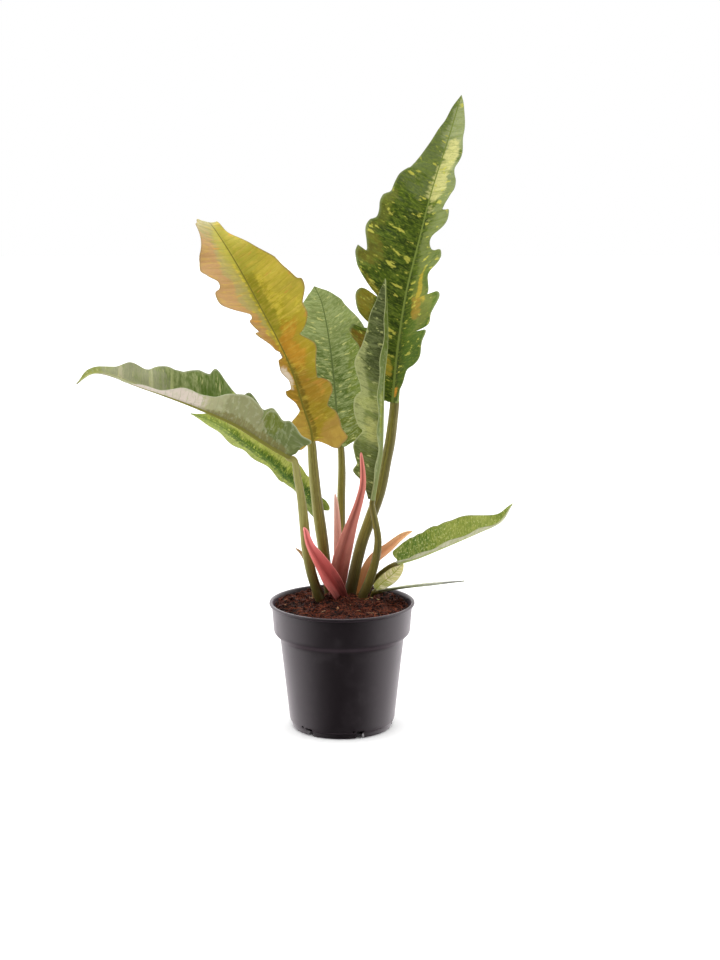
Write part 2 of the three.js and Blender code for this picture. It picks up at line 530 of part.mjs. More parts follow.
// Pink bud sheaths: long hollowed scales, thick at the foot and drawn out to a point
const sheaths = {
  front: {
    colour: 0xc9706c,
    rib: [[0, 14, 97], [-1, 11, 106], [-5, 7, 115], [-13, -1, 129], [-20.4, -9.5, 144], [-27, -15, 158],
      [-30.5, -17.5, 173]],
    face: [[0.3, -0.9, 0.3], [0.3, -0.9, 0.3]],
    lift: [20, 35, 45, 50],
    half: [[0, 5.6], [0.12, 6.2], [0.28, 8.6], [0.42, 9.4], [0.56, 9], [0.7, 7.2], [0.8, 5.2],
      [0.9, 3.9], [0.97, 2.5], [1, 0]],
    depth: [3, 1.6, 1, 0.6],
  },
  tall: {
    colour: 0xb8665a,
    rib: [[-4, 21, 96], [-5, 19, 108], [-4, 15, 121], [-1, 10, 141], [5, 5, 164], [14, -2, 193],
      [17, -6, 210], [16, -10, 234]],
    face: [[0.2, -0.95, 0.1], [0.2, -0.95, 0.1]],
    lift: [20, 30, 45, 50],
    half: [[0, 5.6], [0.1, 6.6], [0.22, 8.2], [0.34, 8.4], [0.46, 7.4], [0.56, 6], [0.66, 4.8],
      [0.78, 3.8], [0.88, 2.9], [0.96, 1.7], [1, 0]],
    depth: [3, 1.6, 1, 0.6],
  },
  thin: {
    colour: 0xd09080,
    rib: [[-3.8, 33.5, 96], [-3.8, 33, 109], [-3.7, 31, 135], [-4, 29, 161], [-5, 28, 183],
      [-6, 28, 193]],
    face: [[0.1, -1, 0], [0.1, -1, 0]],
    lift: [15, 25, 30],
    half: [[0, 2.2], [0.2, 2.8], [0.4, 3.6], [0.6, 3.5], [0.8, 2.6], [0.93, 1.6], [1, 0]],
    depth: [1.6, 1, 0.6],
  },
  orange: {
    colour: 0xe0a06c,
    rib: [[15.5, 30.5, 96], [15.8, 30.7, 108], [18.5, 31.2, 121], [26.5, 30, 135], [39, 26, 146],
      [50, 24, 156], [59, 22, 162]],
    face: [[0.1, -0.95, 0.3], [-0.3, -0.85, 0.4]],
    lift: [15, 30, 35],
    half: [[0, 3.6], [0.15, 4], [0.35, 4.8], [0.5, 5.2], [0.65, 4.9], [0.8, 3.9], [0.92, 2.5],
      [1, 0]],
    depth: [1.8, 1.2, 0.6],
  },
  small: {
    colour: 0xb09468,
    rib: [[-22, 18, 97], [-23, 18, 110], [-26, 16, 128], [-33, 13, 143], [-39, 10, 150]],
    face: [[0.2, -1, 0.2], [0.2, -1, 0.3]],
    lift: [15, 25, 30],
    half: [[0, 2.4], [0.3, 2.6], [0.6, 2.2], [0.85, 1.5], [1, 0]],
    depth: [1.2, 0.8, 0.5],
  },
};

const stems = [];

// Each leaf's stem stands in the mix and ends, cut square, a hair below the foot of its blade
for (const [name, leaf] of Object.entries(leaves)) {
  const line = ribLine(leaf.rib, leaf.face);
  const foot = line.frame(0);
  const sink = along(leaf.stemDeep, 1);
  const top = foot.point.clone().addScaledVector(foot.tangent, -JOINT_GAP);
  top.addScaledVector(foot.normal, -sink);
  const below = top.clone().addScaledVector(foot.tangent, -(leaf.straightTop ?? STRAIGHT_TOP));
  const points = [...leaf.stem, below.toArray(), top.toArray()];
  const face = [[0, -1, 0.05], foot.normal.toArray()];
  const stem = { points, face, across: leaf.stemAcross, deep: leaf.stemDeep };
  addPiece(`stem_${name}`, stemGeometry(stem), STEM_COLOUR, 0.5);
  addPiece(`blade_${name}`, bladeGeometry(leaf), leaf.colour, 0.45);
  stems.push(stem);
}

for (const [name, sheath] of Object.entries(sheaths)) {
  addPiece(`sheath_${name}`, bladeGeometry({ rib: sheath.rib, face: sheath.face,
    liftLeft: sheath.lift, liftRight: sheath.lift, left: sheath.half, right: sheath.half,
    ribWidth: sheath.half.map(([, width]) => Math.max(width, 1)), ribDepth: sheath.depth,
    columns: [0.5, 1], sweep: 0 }), sheath.colour, 0.5);
}

// The growing mix fills the pot: a lump whose top rises gently to the crown
// and is roughened by a few crossing waves
function mixTop(x, y) {
  const r = Math.hypot(x, y);
  const rise = Math.cos(Math.min(1, r / 56) * Math.PI / 2) ** 1.3;
  const rough = 0.7 * Math.sin(0.31 * x + 0.9) * Math.sin(0.27 * y + 0.4)
    + 0.45 * Math.sin(0.62 * x - 0.35 * y) * Math.sin(0.55 * y + 0.3 * x + 1.7);
  return MIX_EDGE_HEIGHT + (MIX_CENTRE_HEIGHT - MIX_EDGE_HEIGHT) * rise + rough;
}

function innerRadius(z) {
  const share = (z - 8) / (BAND_LOWER_EDGE - 5 - 8);
  return BASE_RADIUS + 2.4 - WALL + (51.8 - BASE_RADIUS - 2.4) * share;
}

function mixGeometry() {
  const floor = FLOOR_RAISE + FLOOR_THICKNESS + MIX_GAP;
  const sides = MIX_SIDES;
  const rings = [];
  const ringAt = (radius, height) => {
    const ring = [];
    for (let i = 0; i < sides; i += 1) {
      const angle = 2 * Math.PI * i / sides;
      const x = radius * Math.cos(angle);
      const y = radius * Math.sin(angle);
      ring.push([x, y, height === null ? mixTop(x, y) : height]);
    }
    return ring;
  };
  const shrink = MIX_GAP;
  rings.push(ringAt(20, floor));
  rings.push(ringAt(innerRadius(floor + 4) - 3 - shrink, floor));
  rings.push(ringAt(innerRadius(8) - shrink - 0.4, floor + 5));
  rings.push(ringAt(innerRadius(BAND_LOWER_EDGE - 5) - shrink - 0.6, BAND_LOWER_EDGE - 5));
  rings.push(ringAt(55.4 - shrink, BAND_LOWER_EDGE + 1));
  rings.push(ringAt(56.6 - shrink, MIX_EDGE_HEIGHT - 3));
  for (const radius of [55.5, 46, 37, 28, 19, 10]) rings.push(ringAt(radius, null));
  return loft(rings);
}

let mix = toSolid(mixGeometry());
for (const stem of stems) {
  mix = mix.subtract(toSolid(stemGeometry({ ...stem, spare: HOLE_GAP })));
}
for (const sheath of Object.values(sheaths)) {
  const wide = sheath.half[0][1] + 2;
  mix = mix.subtract(toSolid(stemGeometry({ points: sheath.rib, face: sheath.face,
    across: [wide, wide + 4], deep: [4.4, 5.4], spare: HOLE_GAP })));
}
addPiece('growing_mix', toGeometry(mix), MIX_COLOUR, 0.95);

// The pot is turned from one profile: foot, tapered wall, chamfer, rim band and lip
function potGeometry() {
  const floorTop = FLOOR_RAISE + FLOOR_THICKNESS;
  const profile = [
    [0, 0], [PAD_RADIUS, 0], [PAD_RADIUS + 2, FLOOR_RAISE], [BASE_RADIUS - 4.5, FLOOR_RAISE],
    [BASE_RADIUS - 3.6, 0], [BASE_RADIUS, 0], [BASE_RADIUS + 0.6, 4.6], [BASE_RADIUS + 1.8, 5.4],
    [BASE_RADIUS + 2.4, 8], [51.8, BAND_LOWER_EDGE - 5], [56.9, BAND_LOWER_EDGE],
    [58.6, POT_HEIGHT - 2.6], [LIP_RADIUS - 0.5, POT_HEIGHT - 2.3], [LIP_RADIUS, POT_HEIGHT - 1.2],
    [LIP_RADIUS - 0.5, POT_HEIGHT], [58.2, POT_HEIGHT], [57.2, POT_HEIGHT - 2.4],
    [55.5, BAND_LOWER_EDGE + 0.6], [51.8 - WALL, BAND_LOWER_EDGE - 4.4], [BASE_RADIUS + 2.4 - WALL, 8],
    [BASE_RADIUS + 0.2 - WALL, floorTop], [0, floorTop],
  ];
  const lathe = new THREE.LatheGeometry(profile.map(([r, z]) => new THREE.Vector2(r, z)), POT_SIDES);
  lathe.rotateX(Math.PI / 2);
  return lathe;
}

let pot = toSolid(potGeometry());
for (let i = 0; i < NOTCH_COUNT; i += 1) {
  const angle = radians(NOTCH_FIRST_ANGLE + i * 360 / NOTCH_COUNT - 90);
  const notch = new THREE.BoxGeometry(9, NOTCH_WIDTH, 2 * NOTCH_HEIGHT);
  notch.rotateZ(angle);
  notch.translate((BASE_RADIUS - 0.2) * Math.cos(angle), (BASE_RADIUS - 0.2) * Math.sin(angle), 0);
  pot = pot.subtract(toSolid(notch));
}
addPiece('pot', toGeometry(pot), POT_COLOUR, 0.4);

export default plant;
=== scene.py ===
"""Looks of a potted philodendron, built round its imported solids.

Every new piece is a surface worked out as whole arrays: leaf blades and bud sheaths are nets
between a rib and an outline, stems and fibres are rings carried along a line, and the pot is
a profile turned round an axis. Sizes in the tables are millimetres, and meshes are in metres.
"""

import math

import bmesh
import bpy
import numpy as np
from bpy.props import FloatProperty, FloatVectorProperty, IntProperty, PointerProperty
from bpy.types import Operator, Panel, PropertyGroup
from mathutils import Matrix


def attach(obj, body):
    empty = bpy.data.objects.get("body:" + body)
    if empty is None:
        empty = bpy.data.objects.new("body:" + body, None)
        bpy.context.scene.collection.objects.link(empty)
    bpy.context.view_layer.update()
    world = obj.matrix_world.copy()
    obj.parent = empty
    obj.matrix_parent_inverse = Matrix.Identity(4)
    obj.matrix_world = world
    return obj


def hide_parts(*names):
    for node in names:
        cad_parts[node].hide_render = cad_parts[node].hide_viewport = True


bl_info = {
    "name": "Potted philodendron",
    "version": (1, 0, 0),
    "blender": (4, 5, 0),
    "location": "3D View > Sidebar > Philodendron",
    "description": "Makes the leaves, bud sheaths, growing mix and pot of a potted philodendron",
    "category": "Object",
}

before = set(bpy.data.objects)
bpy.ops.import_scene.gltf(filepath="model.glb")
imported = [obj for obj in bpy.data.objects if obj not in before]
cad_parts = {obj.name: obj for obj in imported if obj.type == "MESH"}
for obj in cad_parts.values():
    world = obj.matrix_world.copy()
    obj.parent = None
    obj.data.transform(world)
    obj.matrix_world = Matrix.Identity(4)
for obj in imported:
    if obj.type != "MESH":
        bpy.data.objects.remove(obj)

MM = 0.001

# The picture's longer side in pixels, which the focal length is given in, and the sensor's
IMAGE_HEIGHT = 960
SENSOR_MM = 36.0

# Points closer than this, in metres, become one, and edges shorter than the second go
MERGE_DISTANCE = 2e-7
SHORTEST_EDGE = 1e-8

# The least that a vector is divided by, and the steps of a line between two of its points
LEAST_LENGTH = 1e-12
LINE_STEPS = 160

# Seeded noise: the numbers along each side of its table, and where reading starts in it
NOISE_CELLS = 64
NOISE_START = 200

# The pot, as its solid is made
POT_HEIGHT = 106.7
LIP_RADIUS = 60.8
BAND_LOWER_EDGE = 81.4
BASE_RADIUS = 41.8
WALL = 1.3
FLOOR_RAISE = 2.4
FLOOR_THICKNESS = 1.6
PAD_RADIUS = 12.0
NOTCH_COUNT = 6
NOTCH_FIRST_ANGLE = -39.0
NOTCH_WIDTH = 7.0
NOTCH_HEIGHT = 6.6
NOTCH_THROUGH = 9.0
NOTCH_INSET = 0.2

# The small round dent beside each notch: how far round from it in degrees, how far out from
# the base radius it is centred, and its radius
DENT_TURN = -8.5
DENT_OUT = 2.0
DENT_RADIUS = 1.3

# How far the pot's corners are rounded, in how many steps, and the angle in degrees from
# which an edge of it is left sharp
POT_ROUNDING = 2.2
POT_ROUNDING_STEPS = 7
POT_CREASE = 38

# The growing mix, as its solid is made
MIX_EDGE_HEIGHT = 101.0
MIX_CENTRE_HEIGHT = 105.4
MIX_RADIUS = 55.5
MIX_DOME_RADIUS = 56
MIX_GAP = 0.8

# How finely the mix is drawn, its lumps as (strength, size, seed), and the bank beside the
# wall as its height and the radii between which it rises
MIX_SIDES = 300
MIX_RINGS = 110
MIX_LUMPS = ((0.8, 15.0, 14), (1, 7.0, 11), (0.7, 3.4, 12), (0.45, 1.6, 13))
MIX_BANK = 2.4
MIX_BANK_RADII = (42, 52)

# Crumbs: the seed, how far from the wall they stop, the least radius and how much more the
# largest has, the power that keeps large ones rare, the least and greatest stretch along one
# way and unevenness of a corner, and how high a crumb's middle lies over the mix
CRUMB_SEED = 21
CRUMB_INSET = 1.5
CRUMB_LEAST = 0.35
CRUMB_MORE = 1.1
CRUMB_RARITY = 2.2
CRUMB_STRETCH = (0.5, 1.5)
CRUMB_KNOBS = (0.75, 1.2)
CRUMB_LIFT = 0.25

# Fibres: the seed, how far from the wall they stop, and the least and greatest half length,
# height of the middle, height of the start, share of the half length beyond the middle and
# half thickness. Then come the height of the end, the rings along a fibre and its sides.
FIBRE_SEED = 31
FIBRE_INSET = 6
FIBRE_REACH = (1.5, 7.5)
FIBRE_ARCH = (0.4, 1.8)
FIBRE_START = (-0.4, 0.5)
FIBRE_BEYOND = (0.6, 1.1)
FIBRE_THICK = (0.07, 0.2)
FIBRE_END_LIFT = 0.1
FIBRE_STEPS = 9
FIBRE_SIDES = 4

# Rootlets on the growing mix at the right of the crown: start, middle and end, and their
# half thickness
ROOTLETS = [
    [(22, 20, 105), (26, 12, 107), (31, 2, 103.5)],
    [(24, 16, 105.5), (20, 7, 106), (15, 4, 104)],
    [(25, 14, 105), (31, 10, 106), (37, 8, 103)],
]
ROOTLET_THICK = 0.45

# The random pick from which a crumb, fibre or rootlet turns pale, and is wholly pale
PALE_PICK = (0.982, 0.99)

# The last stretch of a stem below its blade, and the gap between their solids
STRAIGHT_TOP = 9.0
JOINT_GAP = 0.4

# How finely a stem is drawn along its line, and the lengths of its round top and foot
STEM_RINGS = 90
STEM_TOP_DOME = 4.0
STEM_FOOT_DOME = 0.5
DOME_STEPS = 6

# How far a vein leans forward for each mm of a blade's half width, and the share of its root's
# place that comes from even steps. Its bend is the power that its reach is raised to: the
# least, what is added where the outline lies back of the rib's foot, and the share of the rib
# by which all of that is added.
SWEEP = 0.4
EVEN_SHARE = 0.12
VEIN_BEND = 1.2
LOBE_BEND = 1.8
LOBE_SHARE = 0.015

# Steps of a blade's net from the rib, 0, to the margin, 1
REACH = (0.0, 0.015, 0.03, 0.05, 0.075, 0.105, 0.145, 0.2, 0.27, 0.36, 0.46, 0.56, 0.66, 0.76,
         0.85, 0.92, 0.97, 1.0)

# How blades and sheaths are drawn: steps between two outline points, least distance between
# rows, half width of the trough along the rib and height of the bead on it. The sheaths'
# entry also holds what the settings give for the blades. An edge that bends by more than the
# crease, in degrees, is sharp.
BLADE_STYLE = {"outline_steps": 5, "least_row": 0.16, "trough": 1.1, "bead": 0.12}
SHEATH_STYLE = {"outline_steps": 8, "least_row": 0.4, "trough": 0.5, "bead": 0.0,
                "vein_step": 6.0, "swell": 0.0, "pucker": 0.25, "thickness": 0.8,
                "thin_edge": 0.4}
BLADE_CREASE = 55

# Ripples of a blade as the size and seed of their noise, and the half width from which the
# ripples and swellings have their full height
RIPPLE_SIZE = 11.0
RIPPLE_SEED = 5
FULL_WIDTH = 20

# Half widths of the bead on a blade's face and of the bulge on its back, as shares of the
# rib's own
BEAD_SHARE = 0.34
BULGE_SHARE = 1.15

# How far each leaf's noise seed lies from the leaf before
SKIN_SEED_STEP = 11.0

# Noises of the leaf skin, as their sizes along the rib and along the veins, detail,
# roughness and what is added to the leaf's seed. The sizes of clouds and flecks are each
# leaf's own.
CLOUD = (3.0, 0.6, 0.0)
FLECK = (3.0, 0.6, 7.0)
STREAK = (2.7, 17, 4.0, 0.62, 3.0)
GRAIN = (1.1, 3.6, 3.0, 0.65, 5.0)
MOTTLE = (3.6, 8, 4.0, 0.62, 9.0)

# The stage, in metres: half the floor's side and how far it lies under the pot, the light's
# place, aim and size, and how far the camera sees. The tent brightens between two values of
# the way towards the back, and between two of the way up.
FLOOR_HALF = 6.0
FLOOR_DROP = 0.0002
LIGHT_PLACE = (-0.2, -0.7, 1.9)
LIGHT_AIM = (0, 0, 0.22)
LIGHT_SIDE = 1.2
CAMERA_REACH = 50.0
TENT_BACKWARD = (-0.92, 0.0)
TENT_UPWARD = (-0.85, -0.3)
WHITE = (1.0, 1.0, 1.0, 1.0)

# Leaves: rib points in mm, the way the face looks at equal steps along the rib, the angle
# that each side rises from the rib, and each side's outline as [share of the rib's length,
# width from the rib in mm]. The waves are a height in mm, a number and a start.
LEAVES = {
    "tall": {
        "rib": [[42, 26, 270], [46, 29, 312], [53, 33, 359], [63, 37, 400], [74, 42, 443],
            [88, 46, 487], [98, 48, 521]],
        "face": [[-0.5, -0.86, 0], [-0.52, -0.85, 0], [-0.5, -0.86, 0], [-0.25, -0.97, 0]],
        "lift_left": [26, 26, 24, 15],
        "lift_right": [26, 30, 28, 18],
        "left": [[0, 3.8], [0.004, 7], [0.006, 12], [0.048, 19.5], [0.109, 27.5], [0.167, 33],
            [0.195, 40.5], [0.215, 42.5], [0.232, 40.5], [0.23, 36], [0.226, 30.5], [0.232, 23.5],
            [0.25, 30], [0.274, 37], [0.308, 41], [0.329, 41.5], [0.343, 38.5], [0.342, 33.5],
            [0.332, 28.5], [0.327, 23.5], [0.349, 30.5], [0.379, 39], [0.404, 45], [0.431, 48.5],
            [0.446, 49.5], [0.463, 48.5], [0.455, 46.5], [0.45, 43.5], [0.456, 40.5],
            [0.484, 42.5], [0.515, 45.5], [0.536, 46], [0.554, 44], [0.56, 41.5], [0.569, 39],
            [0.591, 38.5], [0.616, 39.5], [0.636, 38.5], [0.644, 36.5], [0.654, 33], [0.677, 32],
            [0.701, 30.5], [0.716, 28.5], [0.733, 24.5], [0.74, 22.5], [0.779, 18], [0.831, 13.5],
            [0.875, 10.5], [0.911, 7], [0.956, 4.5], [1, 0]],
        "right": [[0, 3.8], [0.012, 6], [0.042, 7], [0.069, 11.5], [0.093, 15], [0.113, 17.5],
            [0.129, 24], [0.15, 29], [0.181, 34], [0.208, 37], [0.237, 38], [0.248, 34.5],
            [0.238, 24], [0.258, 34.5], [0.272, 39.5], [0.297, 44], [0.321, 48.5], [0.347, 49],
            [0.373, 46], [0.377, 41], [0.362, 36], [0.352, 30.5], [0.374, 30], [0.4, 29],
            [0.429, 28.5], [0.459, 31], [0.486, 33.5], [0.506, 33], [0.507, 29], [0.503, 24],
            [0.505, 19], [0.521, 17], [0.544, 18.5], [0.565, 23], [0.589, 27.5], [0.613, 30],
            [0.634, 30.5], [0.633, 26.5], [0.633, 22], [0.645, 23.5], [0.666, 25], [0.689, 24.5],
            [0.711, 25.5], [0.735, 25], [0.75, 22.5], [0.773, 19.5], [0.8, 19], [0.833, 18],
            [0.871, 14.5], [0.902, 12], [0.941, 8], [0.977, 4], [1, 0]],
        "wave": [1.6, 9, 0.1],
        "rib_width": [3.4, 2.6, 1.8, 0.9],
        "rib_depth": [6, 3.6, 2, 0.5],
        "stem": [[5.5, 27.5, 95], [7.5, 27, 111], [15.5, 26, 147], [23.2, 26, 170], [32, 26, 196],
            [37, 26, 221], [40.3, 26, 238]],
        "stem_across": [5, 4.9, 4.9, 4.5, 4],
        "stem_deep": [5, 4.9, 4.9, 4.5, 4],
    },
    "caramel": {
        "rib": [[-24, 2, 241], [-25.8, 2.9, 252], [-32.2, 5, 271], [-41, 9, 299], [-53, 13, 325],
            [-66, 17, 349], [-78, 21, 371], [-91, 26, 393], [-103, 31, 411], [-109, 43, 417],
            [-112, 59, 416.5], [-114, 74, 409], [-115, 87, 398]],
        "face": [[0.4, -0.9, 0.2], [0.56, -0.78, 0.28], [0.45, -0.8, 0.4], [0.3, -0.85, 0.45],
            [0.2, -0.3, 0.95], [0.1, 0.2, 0.9]],
        "lift_left": [14, 30, 30, 26, 10, 0],
        "lift_right": [22, 28, 28, 24, 10, 0],
        "left": [[0, 3.8], [-0.012, 8], [-0.018, 14], [0.002, 19], [0.032, 21], [0.06, 20.5],
            [0.082, 17.5], [0.094, 10.5], [0.102, 6], [0.11, 3.8], [0.118, 5], [0.134, 8.5],
            [0.151, 16.5], [0.164, 22.5], [0.177, 23], [0.178, 19.5], [0.181, 13.5], [0.191, 11],
            [0.21, 8.5], [0.225, 11], [0.245, 14.5], [0.266, 15], [0.281, 15], [0.284, 11],
            [0.288, 6.5], [0.296, 6.5], [0.305, 9], [0.316, 13.5], [0.334, 14], [0.358, 17],
            [0.38, 22], [0.391, 24], [0.392, 18.5], [0.405, 22], [0.424, 27], [0.433, 26.5],
            [0.437, 22.5], [0.45, 21], [0.463, 27], [0.478, 33.5], [0.499, 39.5], [0.517, 42.5],
            [0.541, 42.5], [0.555, 41.5], [0.56, 38], [0.563, 34.5], [0.573, 32.5], [0.587, 33],
            [0.603, 37.5], [0.62, 40.5], [0.636, 42.5], [0.661, 38.5], [0.687, 36.5],
            [0.709, 31.5], [0.73, 26], [0.75, 20.5], [0.77, 16], [0.79, 12], [0.82, 10.5],
            [0.85, 9.5], [0.9, 7], [0.95, 3.5], [1, 0]],
        "right": [[0, 3.8], [-0.006, 7], [-0.02, 12.5], [-0.031, 16.5], [-0.034, 21],
            [-0.023, 24], [-0.012, 28], [-0.001, 29.5], [0.015, 28], [0.028, 25.5], [0.045, 25.5],
            [0.069, 24.5], [0.082, 22], [0.095, 20], [0.109, 22], [0.122, 24.5], [0.137, 27.5],
            [0.153, 28.5], [0.167, 28], [0.179, 25.5], [0.188, 22], [0.192, 19], [0.206, 19],
            [0.233, 21], [0.258, 24.5], [0.272, 26.5], [0.287, 27], [0.302, 24.5], [0.318, 21],
            [0.331, 19], [0.337, 22], [0.347, 25.5], [0.362, 29.5], [0.378, 32], [0.396, 32.5],
            [0.413, 33], [0.431, 36.5], [0.45, 40], [0.469, 41.5], [0.485, 41], [0.493, 38],
            [0.52, 35.5], [0.55, 32.5], [0.58, 30.5], [0.603, 27], [0.632, 22], [0.66, 18],
            [0.69, 14], [0.72, 10.5], [0.75, 8], [0.78, 6.5], [0.82, 5.5], [0.86, 5], [0.9, 4.2],
            [0.95, 2.4], [1, 0]],
        "wave": [1.8, 7, 0.4],
        "rib_width": [2.6, 2.2, 1.6, 0.8],
        "rib_depth": [4.4, 3, 1.8, 0.5],
        "stem": [[-10, 29, 95], [-11, 28, 111], [-14, 23, 132], [-16.6, 18, 155],
            [-18.9, 14, 173], [-21.8, 8, 199], [-23.6, 4.5, 221]],
        "straight_top": 5,
        "stem_across": [4.5, 4.7, 4.9, 4.5, 3.8],
        "stem_deep": [4.5, 4.6, 4.6, 4.1, 3.3],
    },
    "back": {
        "rib": [[-1.2, 58, 227], [-1.9, 59.4, 236], [-4.3, 62.2, 251], [-7, 68, 282],
            [-11, 74, 315], [-17, 80, 346], [-24, 84, 362]],
        "face": [[0.05, -1, 0.25], [0.1, -1, 0.25], [0, -1, 0.3]],
        "lift_left": [15, 12, 10],
        "lift_right": [15, 12, 10],
        "left": [[0, 3.4], [0.012, 5.5], [0.032, 9.5], [0.04, 18], [0.071, 22.5], [0.11, 23],
            [0.152, 25.5], [0.2, 28], [0.24, 26.5], [0.275, 28], [0.34, 30.5], [0.39, 29],
            [0.431, 28], [0.5, 30], [0.56, 29], [0.617, 26.5], [0.7, 26.5], [0.77, 23.5],
            [0.84, 22], [0.892, 18.5], [0.93, 15.5], [0.95, 12], [0.966, 8.5], [0.98, 4.5],
            [1, 0]],
        "right": [[0, 3.4], [0.004, 5], [0.018, 8], [0.035, 13], [0.06, 19.5], [0.1, 22],
            [0.145, 27], [0.19, 27], [0.24, 31], [0.3, 30], [0.345, 33], [0.4, 31.5],
            [0.46, 34.5], [0.534, 33], [0.59, 35], [0.634, 33.5], [0.7, 31.5], [0.742, 29],
            [0.781, 25.5], [0.813, 22], [0.85, 18.5], [0.875, 17], [0.9, 13.5], [0.931, 9.5],
            [0.97, 4], [1, 0]],
        "wave": [1.4, 5, 0.2],
        "rib_width": [2.5, 2, 1.4, 0.7],
        "rib_depth": [4, 2.6, 1.4, 0.4],
        "stem": [[0, 39, 93], [0, 39, 108], [-1, 45, 149], [-1, 52.5, 183], [-0.5, 57, 205]],
        "straight_top": 6,
        "stem_across": [3.2, 3.4, 3.7, 3.5, 3],
        "stem_deep": [3.2, 3.3, 3.4, 3.2, 2.8],
    },
    "folded": {
        "rib": [[24, 4, 192], [27, 3, 210], [31, 2, 234], [32, 1, 263], [33, 0, 292],
            [36, -1, 321], [36, -2, 348], [35, -4, 375]],
        "face": [[-0.75, -0.66, 0], [-0.78, -0.62, 0], [-0.74, -0.67, 0]],
        "lift_left": [42, 44, 42],
        "lift_right": [56, 60, 56],
        "left": [[0, 2.8], [0.02, 4.5], [0.045, 7], [0.081, 12], [0.101, 17], [0.118, 19.5],
            [0.147, 17.5], [0.179, 20], [0.228, 22.5], [0.26, 22], [0.286, 19], [0.315, 15.5],
            [0.333, 18.5], [0.364, 21], [0.408, 23], [0.453, 23], [0.472, 21.5], [0.488, 18],
            [0.52, 18.5], [0.561, 21.5], [0.597, 24], [0.623, 24.5], [0.661, 22.5], [0.692, 20.5],
            [0.732, 18.5], [0.77, 16.5], [0.816, 15], [0.858, 12.5], [0.895, 9], [0.939, 5.5],
            [0.978, 2], [1, 0]],
        "right": [[0, 2.8], [0.03, 3.2], [0.06, 4.2], [0.1, 6.2], [0.14, 6.8], [0.19, 6.6],
            [0.24, 8.3], [0.3, 9.2], [0.37, 8.6], [0.42, 9.8], [0.48, 10.6], [0.52, 9.8],
            [0.56, 10.8], [0.62, 12.8], [0.67, 12.2], [0.73, 11], [0.8, 8.8], [0.86, 7],
            [0.91, 4.6], [0.96, 2.4], [1, 0]],
        "wave": [0.8, 6, 0],
        "rib_width": [2, 1.7, 1.3, 0.7],
        "rib_depth": [3, 2.2, 1.3, 0.4],
        "stem": [[16, 16, 95], [17.5, 16, 107], [23, 14, 121], [28, 10, 139], [30, 7, 157],
            [27.5, 5.5, 174]],
        "straight_top": 4,
        "stem_across": [4.1, 3.9, 3.4, 2.9, 2.3],
        "stem_deep": [4.1, 3.9, 3.4, 2.9, 2.3],
    },
    "left": {
        "rib": [[-41, -24, 234], [-59, -27, 245], [-85, -32, 262], [-113, -38, 276],
            [-140, -43, 287], [-163, -48, 296], [-183, -52, 304], [-197, -54, 305],
            [-208, -56, 297]],
        "face": [[0, -0.22, 0.97], [0, -0.15, 0.98], [0, -0.2, 0.95], [0, -0.3, 0.92],
            [0, -0.3, 0.92]],
        "lift_left": [50, 50, 44, 24, 12],
        "lift_right": [70, 68, 62, 50, 36],
        "left": [[0, 3.2], [-0.008, 8], [-0.005, 16], [-0.006, 24], [-0.018, 34], [-0.006, 38],
            [0.035, 37.5], [0.083, 43], [0.122, 45.5], [0.142, 40.5], [0.161, 40.5],
            [0.189, 41.5], [0.208, 38.5], [0.213, 34.5], [0.207, 27], [0.206, 21.5], [0.22, 30.5],
            [0.234, 34.5], [0.257, 38], [0.279, 41.5], [0.307, 44], [0.335, 42.5], [0.356, 38.5],
            [0.396, 32], [0.421, 27.5], [0.448, 27.5], [0.484, 25], [0.523, 23], [0.565, 23],
            [0.61, 21.5], [0.65, 18], [0.69, 17.5], [0.73, 14], [0.78, 11], [0.84, 8], [0.9, 5],
            [0.96, 2.5], [1, 0]],
        "right": [[0, 3.2], [-0.008, 8], [-0.005, 14], [0.02, 20], [0.06, 22], [0.085, 19],
            [0.12, 23], [0.17, 27], [0.2, 22], [0.23, 24], [0.28, 28], [0.3, 23], [0.325, 22.5],
            [0.355, 25.5], [0.389, 29.5], [0.423, 33.5], [0.441, 34], [0.449, 32], [0.455, 28.5],
            [0.471, 28], [0.496, 28.5], [0.512, 27.5], [0.534, 25.5], [0.555, 23], [0.572, 22.5],
            [0.594, 22], [0.623, 22.5], [0.655, 21], [0.674, 19], [0.692, 16], [0.713, 15],
            [0.738, 15.5], [0.769, 16], [0.79, 15], [0.808, 12], [0.83, 8.5], [0.871, 6.5],
            [0.9, 5.5], [0.94, 3.5], [0.97, 1.5], [1, 0]],
        "wave": [1.2, 6, 0.3],
        "rib_width": [2.4, 2, 1.5, 0.7],
        "rib_depth": [3.6, 2.6, 1.6, 0.4],
        "stem": [[-15, 7, 95], [-18, 5, 106], [-25, 0, 129], [-29, -4, 151], [-30.5, -8, 169],
            [-32, -12, 187], [-34, -16.6, 204], [-36, -20, 216]],
        "straight_top": 5,
        "stem_across": [4.3, 4.3, 4.3, 4.2, 4, 3.2],
        "stem_deep": [4.3, 4.2, 4, 3.8, 3.3, 2.6],
    },
    "yellow": {
        "rib": [[-20, 36.5, 175], [-26, 36, 184], [-35, 36, 195], [-50, 37, 208],
            [-62, 38.5, 219], [-78, 40.5, 230.5], [-93, 42, 241.5], [-109, 44, 251],
            [-128, 46, 258]],
        "face": [[0.3, -0.55, 0.8], [0.3, -0.5, 0.8], [0.2, -0.5, 0.85]],
        "lift_left": [20, 18, 14],
        "lift_right": [20, 18, 14],
        "left": [[0, 3], [-0.02, 7], [0, 12], [0.045, 15], [0.1, 14], [0.14, 16], [0.175, 13.5],
            [0.22, 11], [0.26, 10], [0.285, 9.5], [0.315, 12.5], [0.384, 12], [0.434, 11],
            [0.48, 11.5], [0.539, 15], [0.595, 14.5], [0.673, 15.5], [0.766, 13], [0.845, 10],
            [0.93, 4.5], [1, 0]],
        "right": [[0, 3], [-0.02, 6], [-0.035, 9], [-0.02, 11.5], [0.02, 12], [0.06, 10.5],
